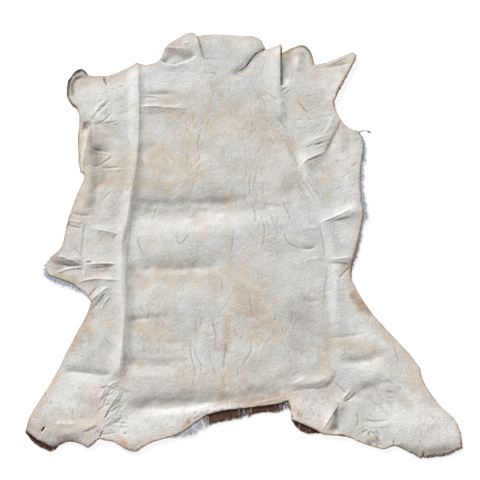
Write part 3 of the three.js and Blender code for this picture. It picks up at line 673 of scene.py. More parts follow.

# Colour laid over the cream: a patch's reach is measured from its route, and ragged moves its edge about.
# Rows in the shade and line colours are painted shade; other painted shade and painted highlights are noted at
# their rows.
Paint = namedtuple("Paint", "name colour strength reach ragged route")
PAINTS = table(Paint, [
    ("tan spine", "tan", 0.16, 120, 50, [(-60, 330), (10, 210), (60, 110)]),
    ("tan neck", "tan", 0.12, 60, 26, [(-120, 420), (-30, 440), (40, 380)]),
    ("left side blush", "peach", 0.26, 46, 20, [(-380, 250), (-390, 120), (-420, 10)]),
    ("left foot blush", "peach", 0.36, 50, 22, [(-470, -480), (-420, -500), (-350, -500)]),
    ("right foot blush", "peach", 0.30, 50, 22, [(400, -400), (450, -470), (440, -530)]),
    ("rump blush", "peach", 0.26, 40, 16, [(-40, -430), (60, -425), (130, -430)]),
    ("cool neck", "cool", 0.55, 48, 20, [(-76, 487), (4, 434), (-41, 365)]),
    ("pale neck left", "pale", 0.65, 36, 16, [(-233, 431), (-142, 419)]),
    ("pale neck right", "pale", 0.45, 24, 12, [(-1, 533), (34, 505)]),
    ("pale shoulder", "pale", 0.70, 52, 20, [(-437, 365), (-357, 347), (-314, 395)]),
    ("cool shoulder", "cool", 0.45, 34, 16, [(-378, 335), (-300, 365), (-306, 271)]),
    ("blush shoulder", "peach", 0.40, 24, 12, [(-435, 407), (-381, 407), (-308, 431)]),
    ("grey side", "shade", 0.30, 26, 12, [(-378, 248), (-351, 134)]),
    ("tan west", "tan", 0.50, 54, 26, [(-348, 162), (-241, 190), (-142, 140)]),
    ("tan neck right", "tan", 0.34, 50, 24, [(-101, 294), (-49, 335), (48, 294)]),
    ("tan spine low", "tan", 0.34, 20, 12, [(-37, 101), (-34, -92)]),
    ("pale middle", "pale", 0.60, 42, 18, [(-264, 3), (-110, 19), (16, 14)]),
    ("blush middle", "peach", 0.30, 26, 12, [(-120, 35), (-89, -24)]),
    ("cool middle right", "cool", 0.60, 60, 26, [(46, 14), (166, 14), (189, 101)]),
    ("grey hollow right", "shade", 0.26, 26, 12, [(70, -50), (169, -53)]),
    ("tan loin", "tan", 0.55, 34, 18, [(-9, -184), (44, -229), (29, -269)]),
    ("tan lower spine", "tan", 0.50, 14, 8, [(-41, -234), (-42, -366)]),
    ("tan lower left", "tan", 0.34, 40, 22, [(-153, -289), (-136, -394)]),
    ("grey loin right", "shade", 0.34, 42, 20, [(131, -194), (134, -301)]),
    ("pale thigh right", "pale", 0.65, 36, 14, [(230, -159), (251, -234), (313, -301)]),
    ("tan right leg", "tan", 0.34, 24, 12, [(201, -289), (301, -303)]),
    ("cool right leg", "cool", 0.50, 44, 20, [(275, -436), (357, -478)]),
    ("pale right foot", "pale", 0.65, 52, 20, [(375, -436), (442, -487)]),
    ("pale haunch left", "pale", 0.85, 40, 14, [(-245, -492), (-153, -473), (-93, -441)]),
    ("pale left foot", "pale", 0.70, 54, 20, [(-406, -356), (-434, -436), (-371, -427)]),
    ("blush left foot", "peach", 0.34, 36, 16, [(-355, -422), (-333, -489)]),
    ("pale right belly", "pale", 0.60, 34, 14, [(280, 219), (259, 79), (241, -2)]),
    ("pale haunch right", "pale", 0.50, 28, 10, [(125, -459), (172, -473)]),
    ("pale elbow top", "pale", 0.65, 16, 8, [(-452, 347), (-431, 317)]),
    ("pale neck band", "pale", 0.50, 24, 12, [(-243, 406), (-152, 394)]),
    ("pale shoulder low", "pale", 0.45, 18, 9, [(-344, 305), (-307, 299)]),
    ("pale neck middle", "pale", 0.34, 26, 14, [(-202, 259), (-140, 276)]),
    ("pale right neck", "pale", 0.40, 20, 10, [(104, 358), (122, 323)]),
    ("pale right foreleg", "pale", 0.50, 24, 12, [(247, 443), (239, 364)]),
    ("pale middle right", "pale", 0.60, 20, 10, [(16, 21), (91, 24)]),
    ("pale left strip", "pale", 0.45, 14, 7, [(-274, 123), (-293, 95)]),
    ("pale belly low right", "pale", 0.50, 18, 9, [(231, 13), (239, -45)]),
    # Painted highlight on the lit side of the rump crest
    ("pale rump crest", "pale", 0.75, 13, 6, [(-290, -303), (-224, -306), (-152, -303)]),
    ("pale tail left", "pale", 0.60, 13, 6, [(-121, -464), (-67, -455), (-9, -450)]),
    ("pale crumple", "pale", 0.55, 16, 8, [(-304, -450), (-314, -489), (-336, -519)]),
    ("pale haunch foot", "pale", 0.60, 14, 7, [(-281, -514), (-225, -537)]),
    ("pale haunch right low", "pale", 0.90, 28, 12, [(121, -455), (166, -487)]),
    # Painted highlight on the lit side of the left ridge
    ("pale ridge side", "pale", 0.60, 13, 6, [(-300, 443), (-297, 358), (-292, 241)]),
    ("pale left haunch wide", "pale", 0.55, 34, 16, [(-305, -478), (-217, -501), (-125, -467)]),
    ("peach haunch edge", "peach", 0.34, 11, 5, [(-261, -537), (-182, -510), (-107, -471)]),
    ("pale left thigh", "pale", 0.50, 24, 12, [(-384, -325), (-406, -356)]),
    ("pale shoulder top", "pale", 0.40, 30, 14, [(-412, 382), (-348, 388), (-307, 419)]),
    ("cool left neck", "cool", 0.45, 30, 14, [(-250, 443), (-164, 437)]),
    ("warm left belly", "tan", 0.34, 26, 13, [(-450, -134), (-380, -154), (-354, -100)]),
    ("warm lower middle", "tan", 0.34, 22, 12, [(20, -220), (77, -264), (42, -385)]),
    ("warm shoulder patch", "tan", 0.34, 18, 10, [(-207, 347), (-151, 305)]),
    ("warm right patch", "tan", 0.30, 16, 9, [(85, 276), (125, 213)]),
    ("cool right patch", "cool", 0.40, 20, 10, [(76, 382), (150, 382)]),
    ("pale neck top", "pale", 0.40, 18, 9, [(-15, 505), (34, 511)]),
    ("cool right low", "cool", 0.50, 30, 15, [(210, -13), (228, -66), (164, -77)]),
    ("cool hind", "cool", 0.45, 26, 13, [(315, -380), (352, -399)]),
    ("cool foot low", "cool", 0.40, 20, 10, [(413, -533), (468, -533)]),
    ("cool shank", "cool", 0.45, 18, 9, [(-481, -427), (-496, -473)]),
    ("cool left thigh", "cool", 0.40, 32, 14, [(-362, -293), (-314, -318)]),
    # Painted shadow at the belly's tip
    ("grey belly tip", "dirt", 0.45, 16, 7, [(-471, -79), (-448, -92)]),
    ("right thigh blush", "peach", 0.34, 26, 14, [(274, -164), (346, -264), (425, -397)]),
    ("blush right shoulder", "peach", 0.34, 30, 14, [(199, 444), (273, 474)]),
    ("tan right shoulder", "tan", 0.24, 40, 20, [(149, 329), (224, 242)]),
    ("cool neck left", "cool", 0.55, 34, 14, [(-262, 405), (-250, 360)]),
    ("cool right shoulder", "cool", 0.50, 34, 14, [(120, 270), (200, 298)]),
    ("cool loin", "cool", 0.45, 48, 22, [(-200, -338), (-60, -338)]),
    ("cool right side", "cool", 0.45, 34, 14, [(214, -160), (256, -256)]),
    ("cool right belly", "cool", 0.40, 40, 18, [(260, 130), (255, -30)]),
    ("tail stain", "rust", 0.34, 8, 5, [(40, -430), (86, -430)]),
    ("rump stain", "rust", 0.45, 5, 3, [(-131, -477), (-126, -480)]),
    ("left thigh stain", "peach", 0.50, 16, 9, [(-410, -260), (-428, -300)]),
    ("collar shade", "shade", 0.50, 11, 4, [(-198, 511), (-192, 499), (-203, 487)]),
    ("collar shade right", "shade", 0.36, 8, 4, [(-182, 508), (-150, 508)]),
    ("neck mottle", "tan", 0.50, 9, 6, [(-73, 386), (-57, 371)]),
    # Painted shade and a painted shadow line along the neck slit, and a painted highlight on its lit lower
    # edge
    ("neck slit shade", "shade", 0.40, 10, 4, [(7, 474), (-9, 456), (-28, 444)]),
    ("neck slit line", "dark", 1.0, 3.8, 0.4, [(56, 511), (31, 499), (18, 479), (4, 457), (-8, 448)]),
    ("neck slit bright edge", "pale", 0.60, 3.2, 1.0, [(62, 505), (38, 490), (25, 472), (11, 450)]),
    ("collar slit line", "brown", 0.70, 2.4, 1, [(-125, 555), (-116, 527), (-109, 499)]),
    ("recess shade", "shade", 0.70, 10, 2, [(112, 485), (111, 431)]),
    ("recess top", "brown", 0.70, 6, 3, [(101, 499), (122, 501)]),
    ("lobe edge", "brown", 0.75, 6, 2, [
        (115, 507), (131, 515), (148, 522), (161, 523), (173, 513), (182, 499),
    ]),
    ("lobe side", "brown", 0.60, 5, 2, [(182, 499), (187, 481), (189, 463)]),
    ("lobe right", "shade", 0.50, 8, 4, [(179, 487), (184, 462)]),
    ("foreleg inner edge", "brown", 0.85, 4.6, 1.8, [
        (301, 486), (293, 467), (279, 439), (262, 411), (249, 384), (239, 350),
    ]),
    ("foreleg top edge", "brown", 0.50, 2.6, 1, [
        (189, 460), (205, 465), (230, 471), (246, 480), (271, 491), (287, 501),
    ]),
    ("shoulder streak", "dirt", 0.50, 2.4, 1, [(148, 350), (157, 335), (167, 323)]),
    ("armpit shade", "shade", 0.28, 9, 4, [(263, 288), (241, 259), (224, 225), (213, 202)]),
    ("right ledge shade", "dirt", 0.25, 7, 3, [(275, 27), (252, 19)]),
    ("right rib shade", "dirt", 0.36, 9, 4, [(264, -105), (244, -110)]),
    ("right belly edge", "brown", 0.75, 4.5, 2, [
        (290, -24), (284, -50), (278, -74), (269, -92), (265, -113), (263, -133),
    ]),
    ("right belly peach", "peach", 0.60, 6, 3, [(298, 95), (299, 35), (290, -13)]),
    ("thigh stain", "dirt", 0.75, 14, 7, [(268, -179), (282, -194), (300, -217)]),
    ("right hollow shade", "shade", 0.2, 11, 6, [(147, -50), (180, -42)]),
    ("right low hollow shade", "shade", 0.12, 7, 5, [(149, -187), (178, -187)]),
    ("pleat shade", "shade", 0.40, 8, 3, [(216, -450), (213, -478), (208, -501)]),
    # Painted shadow line at the pleat's foot
    ("pleat foot", "dark", 0.80, 2.4, 0.6, [(216, -511), (232, -513)]),
    ("second pleat shade", "shade", 0.35, 9, 4, [(285, -517), (305, -532)]),
    ("shoulder band shade", "shade", 0.25, 8, 5, [(-272, 323), (-206, 322)]),
    ("middle band shade", "shade", 0.42, 15, 8, [(-280, 76), (-199, 73), (-98, 73), (-9, 78)]),
    ("middle band lower shade", "shade", 0.34, 17, 9, [(-274, 51), (-186, 48), (-72, 51), (46, 57)]),
    ("loin band shade", "shade", 0.34, 10, 6, [(-280, -108), (-181, -111), (-78, -105)]),
    ("lower loin shade", "shade", 0.30, 10, 6, [(-279, -240), (-238, -230), (-190, -225)]),
    ("tail band shade", "shade", 0.50, 12, 6, [(-265, -439), (-184, -436), (-91, -432), (14, -413)]),
    ("loin band lower shade", "shade", 0.30, 17, 8, [(-266, -129), (-181, -134), (-78, -129)]),
    ("lower loin lower shade", "shade", 0.24, 16, 8, [(-273, -259), (-225, -254), (-172, -254)]),
    ("rump band shade", "shade", 0.40, 9, 5, [(-282, -330), (-222, -335), (-139, -337)]),
    ("left foot low shade", "shade", 0.40, 13, 6, [(-498, -496), (-458, -510), (-416, -514)]),
    ("right foot low shade", "shade", 0.62, 13, 6, [(362, -542), (425, -553), (485, -546)]),
    ("right hind shade 1", "shade", 0.34, 12, 6, [(286, -406), (351, -411)]),
    ("right hind shade 2", "shade", 0.34, 10, 5, [(230, -335), (270, -340)]),
    ("belly corner shade", "shade", 0.50, 9, 5, [(262, -92), (260, -126)]),
    ("right flank shade", "shade", 0.30, 13, 6, [(210, -92), (210, -159)]),
    ("right loin hollow shade", "shade", 0.30, 16, 8, [(107, -210), (140, -240), (163, -272)]),
    ("collar hollow shade", "shade", 0.62, 12, 6, [(-203, 498), (-163, 498)]),
    # Painted shade in the star's wedge and in the shoulder pocket
    ("star wedge dark", "dark", 0.50, 5, 2, [(-467, -92), (-438, -92), (-403, -92)]),
    ("pocket dark", "dark", 0.62, 6, 3, [(-417, 291), (-411, 276)]),
    ("left strip side shade", "shade", 0.40, 13, 6, [(-376, 218), (-357, 139)]),
    # Painted shade along the left ridge's fold line, and painted highlight on its lit side
    ("left ridge line upper", "line", 0.42, 2.6, 1, [
        (-278, 458), (-272, 373), (-270, 299), (-269, 227), (-271, 170),
    ]),
    ("left ridge line middle", "line", 0.30, 2.6, 1, [
        (-273, 128), (-280, 73), (-281, 13), (-285, -48), (-288, -92),
    ]),
    ("left ridge line lower", "line", 0.34, 2.6, 1, [
        (-288, -113), (-283, -190), (-283, -245), (-284, -301), (-282, -373),
    ]),
    ("left ridge glow", "pale", 0.75, 10, 4, [(-263, 449), (-257, 358), (-257, 270), (-256, 184)]),
    ("flank knob", "dark", 0.70, 4, 1.5, [(-437, 11)]),
    ("pleat inside", "shade", 0.75, 11, 3, [(216, -457), (205, -499)]),
    ("tan band side", "tan", 0.55, 22, 12, [(-378, 111), (-289, 117), (-174, 106)]),
    ("tan neck low", "tan", 0.34, 34, 18, [(-206, 314), (-139, 241), (-163, 184)]),
    ("tan right middle", "tan", 0.34, 26, 14, [(48, 227), (115, 227)]),
    ("tan right belly", "tan", 0.34, 26, 14, [(200, 123), (262, 156)]),
    ("tan loin low", "tan", 0.34, 40, 20, [(-193, -113), (-21, -123), (64, -190)]),
    ("tan left thigh side", "tan", 0.26, 34, 18, [(-361, -190), (-302, -264), (-201, -264)]),
    ("tan rump spot", "rust", 0.20, 18, 10, [(-45, -313), (-38, -264)]),
    ("tan tail spot", "tan", 0.45, 16, 8, [(56, -434), (19, -441)]),
    ("tan knee", "tan", 0.40, 26, 14, [(186, -313), (196, -420)]),
    ("pale hind foot", "pale", 0.55, 50, 24, [(326, -478), (405, -514), (463, -501)]),
    ("pale right haunch", "pale", 0.60, 30, 14, [(121, -443), (181, -473)]),
    ("peach right haunch", "peach", 0.36, 22, 12, [(121, -436), (144, -473), (210, -505)]),
    ("cool neck wide", "cool", 0.45, 60, 28, [(-209, 434), (-90, 480), (18, 443)]),
    ("pale belly right", "pale", 0.40, 40, 18, [(262, 213), (269, 73), (252, -21)]),
    # Painted highlight that lightens the shaded line below the recess
    ("recess line cover", "pale", 0.30, 5, 2, [(105, 382), (103, 288)]),
    ("cool left foot", "cool", 0.40, 34, 16, [(-428, -385), (-460, -460)]),
    ("olive low centre", "tan", 0.22, 60, 28, [(-225, -264), (-150, -385), (-21, -397)]),
    # Painted shade in the star's wedge and at its tip
    ("star brown", "dirt", 0.34, 12, 6, [(-463, -82), (-403, -92)]),
    ("star tip", "line", 0.42, 16, 7, [(-479, -98), (-452, -108)]),
    ("star tip tan", "dirt", 0.30, 16, 7, [(-460, -129), (-415, -139)]),
    # Painted shade in the collar hollow and the recess
    ("collar deep", "line", 0.42, 16, 7, [(-201, 508), (-171, 501)]),
    ("recess deep", "line", 0.60, 10, 4, [(115, 508), (122, 480)]),
    ("recess floor", "shade", 0.40, 11, 5, [(125, 474), (124, 425)]),
    ("recess tan", "rust", 0.34, 8, 4, [(117, 505), (147, 511)]),
    ("grey hollow left", "shade", 0.30, 16, 8, [(-381, 213), (-367, 150)]),
    ("grey centre band", "shade", 0.22, 24, 12, [(-231, -82), (-83, -92)]),
    ("grey neck band", "shade", 0.30, 8, 4, [(-242, 379), (-173, 382)]),
    ("grey neck centre", "shade", 0.24, 20, 10, [(-79, 449), (-78, 406)]),
    ("armpit soft", "shade", 0.40, 16, 8, [(260, 282), (262, 218)]),
    ("grey right spot", "shade", 0.30, 14, 7, [(110, 100), (138, 106)]),
    ("left leg top line", "shade", 0.50, 10, 5, [(-377, -210), (-366, -227)]),
    ("grey loin right low", "shade", 0.30, 34, 17, [(99, -235), (178, -254)]),
    ("grey tail right", "shade", 0.45, 16, 8, [(19, -404), (75, -408)]),
    ("grey thigh spot", "shade", 0.45, 9, 5, [(252, -332), (299, -335)]),
    ("grey hind spot", "shade", 0.50, 13, 6, [(257, -418), (294, -422)]),
    ("grey hind shank", "shade", 0.34, 18, 9, [(355, -427), (386, -450)]),
    ("grey foot rim", "shade", 0.55, 20, 9, [(366, -544), (425, -550), (483, -537)]),
    ("grey left foot", "shade", 0.34, 16, 8, [(-383, -427), (-349, -436)]),
    ("grey crumple top", "shade", 0.34, 10, 5, [(-290, -408), (-267, -411)]),
    ("grey belly corner", "line", 0.40, 11, 5, [(269, -103), (267, -136)]),
    ("grey middle line", "shade", 0.30, 11, 6, [(-198, 54), (-97, 48)]),
    ("rust loin", "rust", 0.24, 16, 8, [(-4, -225), (29, -230)]),
    ("rust thigh", "rust", 0.34, 10, 5, [(276, -210), (287, -227)]),
    ("rust rump", "rust", 0.24, 9, 5, [(-40, -313), (-33, -318)]),
    ("rust haunch", "rust", 0.30, 10, 5, [(-282, -526), (-266, -539)]),
    ("tan band spot", "tan", 0.50, 14, 7, [(-202, 95), (-161, 84)]),
    ("tan hind", "tan", 0.34, 20, 10, [(312, -318), (342, -332)]),
    ("cool neck middle", "cool", 0.50, 16, 9, [(-73, 358), (-77, 317)]),
    ("cool side right", "cool", 0.45, 26, 14, [(185, -13), (204, -61)]),
    ("grey low centre", "shade", 0.22, 30, 16, [(-81, -277), (-75, -342), (14, -352)]),
    ("grey right low", "shade", 0.26, 28, 16, [(42, -408), (128, -366), (204, -342)]),
    ("grey right middle", "shade", 0.34, 22, 12, [(103, 106), (124, 139)]),
    ("grey middle left", "shade", 0.30, 18, 10, [(-235, 35), (-122, 29)]),
    ("lobe top peach", "peach", 0.55, 12, 5, [(109, 492), (158, 492)]),
    ("tail upper rust", "rust", 0.30, 7, 4, [(-37, -439), (28, -432), (103, -422)]),
    ("haunch tan spot", "rust", 0.36, 9, 4, [(-285, -517), (-270, -537)]),
    ("left thigh tan", "tan", 0.60, 15, 7, [(-385, -235), (-362, -294)]),
    ("thigh stain deep", "dirt", 0.60, 11, 6, [(287, -195), (302, -222)]),
    ("reddish line 1", "red", 0.40, 2.2, 1, [(114, -453), (128, -469)]),
    ("reddish line 2", "red", 0.35, 2.2, 1, [(121, -450), (137, -476)]),
    ("thin streak", "dirt", 0.60, 2.2, 1, [(146, 350), (156, 335), (167, 323)]),
    ("tan spot 1", "tan", 0.7, 5, 3, [(-70, 382)]),
    ("tan spot 2", "tan", 0.7, 4, 3, [(-59, 367)]),
    ("left strip shade", "shade", 0.40, 12, 6, [(-386, 213), (-380, 142), (-381, 73), (-387, 41)]),
    ("curl shade", "shade", 0.2, 9, 5, [(96, -404), (190, -392)]),
    ("left thigh tan band", "tan", 0.60, 16, 9, [(-371, -234), (-392, -276), (-409, -313)]),
    ("haunch stain", "rust", 0.50, 9, 5, [(-287, -530), (-268, -539)]),
    ("haunch spot", "dark", 0.80, 2.6, 1, [(-292, -526)]),
    ("star spot", "dark", 0.80, 3.4, 1.4, [(-385, -93), (-377, -92)]),
    ("star wedge shade", "shade", 0.75, 8, 4, [(-442, -101), (-423, -102), (-403, -102)]),
    ("pocket shade wide", "shade", 0.70, 11, 5, [(-407, 291), (-416, 277)]),
    ("pocket shade", "dark", 0.45, 5, 3, [(-404, 294), (-408, 279)]),
    ("elbow edge", "brown", 0.80, 3.2, 1, [(-428, 256), (-428, 233), (-426, 210)]),
    ("elbow blush", "peach", 0.55, 9, 5, [(-410, 268), (-410, 213), (-405, 171), (-403, 142)]),
    ("tail peach", "peach", 0.60, 7, 3, [(2, -443), (42, -437), (84, -429)]),
    ("rump tan", "rust", 0.30, 7, 4, [(-136, -496), (-125, -478)]),
    ("left foreleg edge", "dark", 0.90, 5.0, 1.4, [
        (-440, 334), (-452, 346), (-462, 361), (-466, 384), (-464, 405), (-460, 425), (-449, 437),
        (-430, 447), (-420, 438),
    ]),
    ("left foreleg shade", "shade", 0.70, 8, 3, [(-451, 371), (-452, 401), (-443, 421), (-425, 428)]),
    ("left shank blush", "peach", 0.50, 9, 6, [(-433, -373), (-458, -420), (-482, -466)]),
    ("left foot shade", "shade", 0.60, 9, 4, [
        (-457, -526), (-436, -535), (-413, -526), (-391, -523), (-367, -532),
    ]),
    ("right foot shade", "shade", 0.50, 9, 5, [(350, -541), (384, -548), (425, -550), (472, -541)]),
    ("mark 1", "dark", 0.80, 3.0, 1, [(-68.5, -446.8)]),
    ("mark 2", "dark", 0.75, 3.0, 1, [(-128.5, -482.8)]),
    ("mark 3", "dark", 0.80, 2.6, 1, [(238.5, -310.8)]),
    ("mark 4", "dark", 0.65, 2.6, 1, [(157.5, -192.8)]),
    ("mark 5", "dark", 0.70, 2.4, 1, [(-437.5, 6.3)]),
    ("mark 6", "dark", 0.60, 2.4, 1, [(-293.5, -525.8)]),
    ("mark 7", "red", 0.80, 3.0, 1, [(-172.5, -266.8)]),
    ("nick", "pale", 0.95, 4.0, 2, [(-42, -401), (-39, -408)]),
    ("loose fibre 1", "pale", 0.90, 2.2, 1, [(-43, -443), (-40, -452)]),
    ("loose fibre 2", "pale", 0.90, 2.0, 1, [(-34, -441), (-33, -450)]),
])

# The dried edge round the rim: how brown and how dark it is at each place, and how far in that reaches
# Its dark is partly the edge's own colour and partly painted shadow, along the slits and at the pleat's foot
Edge = namedtuple("Edge", "name x y brown dark reach")
EDGES = table(Edge, [
    ("collar left", -212, 527, 0.5, 0.3, 3),
    ("collar top left", -177, 549, 0.2, 0, 2),
    ("collar tip", -145, 565, 0.3, 0.5, 3),
    ("collar slit", -126, 555, 0.4, 0.5, 3),
    ("neck 1", -104, 559, 0.1, 0, 2),
    ("neck 2", 4, 555, 0.15, 0, 2),
    ("neck 3", 50, 530, 0.3, 0.2, 3),
    ("neck slit", 56, 515, 0.3, 0.6, 3),
    ("step 1", 72, 518, 0.2, 0, 2),
    ("step 2", 102, 527, 0.5, 0.3, 3),
    ("recess", 107, 502, 0.6, 0.4, 4),
    ("lobe 1", 131, 515, 0.8, 0.3, 6),
    ("lobe 2", 153, 524, 0.8, 0.4, 7),
    ("lobe 3", 172, 515, 0.8, 0.3, 7),
    ("lobe 4", 184, 487, 0.7, 0.3, 5),
    ("lobe foot", 189, 462, 0.4, 0.5, 4),
    ("foreleg 1", 232, 474, 0.5, 0.3, 3),
    ("foreleg 2", 273, 493, 0.3, 0.1, 2.5),
    ("foreleg tip", 295, 502, 0.5, 0.1, 3.5),
    ("foreleg 3", 300, 480, 0.6, 0.1, 4),
    ("foreleg 4", 271, 425, 0.5, 0, 3.5),
    ("foreleg 5", 251, 386, 0.8, 0.2, 4.5),
    ("foreleg 6", 239, 353, 0.7, 0.4, 4),
    ("armpit 1", 243, 329, 0.1, 0, 2),
    ("armpit 2", 265, 285, 0.2, 0, 2),
    ("armpit 3", 293, 265, 0.3, 0.2, 2.5),
    ("belly 1", 307, 227, 0.2, 0, 2),
    ("belly 2", 296, 101, 0.4, 0, 3),
    ("belly 3", 290, -13, 0.5, 0.1, 4),
    ("belly 4", 281, -55, 0.8, 0.2, 6),
    ("belly 5", 269, -92, 0.8, 0.4, 6),
    ("belly 6", 263, -118, 0.7, 0.7, 4),
    ("belly 7", 263, -136, 0.5, 0.4, 3),
    ("thigh 1", 267, -146, 0.1, 0, 2),
    ("thigh 2", 287, -189, 0.3, 0, 3),
    ("thigh 3", 392, -320, 0.2, 0, 2),
    ("shank 1", 415, -366, 0.3, 0.1, 2),
    ("shank 2", 457, -443, 0.1, 0, 2),
    ("foot 1", 493, -485, 0.2, 0, 2),
    ("foot 2", 499, -523, 0.5, 0.4, 4),
    ("foot 3", 471, -550, 0.5, 0.6, 4),
    ("foot 4", 411, -562, 0.4, 0.6, 4),
    ("foot 5", 380, -550, 0.3, 0.4, 3),
    ("foot 6", 348, -539, 0.2, 0.5, 3),
    ("inner leg 1", 323, -544, 0.2, 0.1, 2),
    ("inner leg 2", 244, -517, 0.1, 0.2, 2),
    ("pleat 1", 226, -512, 0.1, 0.9, 3),
    ("pleat 2", 203, -512, 0.1, 0.6, 2.5),
    ("haunch 1", 180, -505, 0.2, 0.5, 2.5),
    ("haunch 2", 141, -492, 0.2, 0.3, 2),
    ("haunch 3", 114, -478, 0.3, 0.5, 2.5),
    ("haunch 4", 107, -455, 0.4, 0.3, 2.5),
    ("tail 1", 103, -434, 0.4, 0.6, 3),
    ("tail 2", 49, -443, 0.2, 0, 2),
    ("tail 3", -32, -453, 0.3, 0.2, 2),
    ("tail 4", -86, -464, 0.3, 0.3, 2.5),
    ("rump 1", -120, -489, 0.4, 0.5, 2.5),
    ("rump 2", -159, -512, 0.3, 0.4, 2.5),
    ("rump 3", -204, -526, 0.1, 0.1, 2),
    ("left haunch 1", -249, -548, 0.3, 0.2, 2.5),
    ("left haunch 2", -273, -541, 0.4, 0.1, 3),
    ("left haunch 3", -308, -526, 0.4, 0, 2),
    ("left haunch 4", -333, -521, 0.5, 0.4, 3),
    ("left foot 1", -358, -539, 0.5, 0.4, 3),
    ("left foot 2", -388, -528, 0.4, 0.3, 2.5),
    ("left foot 3", -438, -539, 0.5, 0.6, 4),
    ("left foot 4", -469, -523, 0.3, 0.7, 3),
    ("left foot 5", -500, -501, 0.5, 0.5, 3),
    ("left shank 1", -492, -462, 0.5, 0.1, 2.5),
    ("left shank 2", -425, -327, 0.5, 0, 2),
    ("left thigh 1", -393, -259, 0.6, 0.1, 2.5),
    ("left thigh 2", -373, -197, 0.5, 0.2, 3),
    ("fold 1", -387, -172, 0.2, 0.1, 2),
    ("fold 2", -450, -139, 0.2, 0.1, 2),
    ("tip 1", -475, -128, 0.5, 0.3, 3),
    ("tip 2", -483, -92, 0.4, 0.3, 3),
    ("tip 3", -465, -66, 0.6, 0.3, 4),
    ("flank 1", -449, -34, 0.4, 0.1, 2.5),
    ("flank 2", -440, 6, 0.5, 0.6, 4),
    ("flank 3", -427, 73, 0.4, 0.2, 2.5),
    ("elbow 1", -407, 134, 0.4, 0.2, 3),
    ("elbow 2", -420, 171, 0.3, 0.2, 3),
    ("elbow 3", -426, 213, 0.5, 0.8, 3.5),
    ("elbow 4", -427, 271, 0.4, 0.3, 3),
    ("elbow 5", -434, 320, 0.3, 0.1, 2),
    ("left foreleg 1", -452, 344, 0.7, 0.3, 3.5),
    ("left foreleg 2", -466, 383, 0.9, 0.75, 4),
    ("left foreleg 3", -462, 425, 0.9, 0.8, 4),
    ("left foreleg 4", -432, 450, 0.8, 0.45, 3.5),
    ("left foreleg 5", -415, 431, 0.8, 0.7, 4),
    ("left shoulder 1", -396, 428, 0.3, 0, 2.5),
    ("left shoulder 2", -343, 444, 0.4, 0.1, 2.5),
    ("left shoulder 3", -286, 468, 0.5, 0.1, 3),
    ("collar foot", -237, 468, 0.3, 0, 2),
])

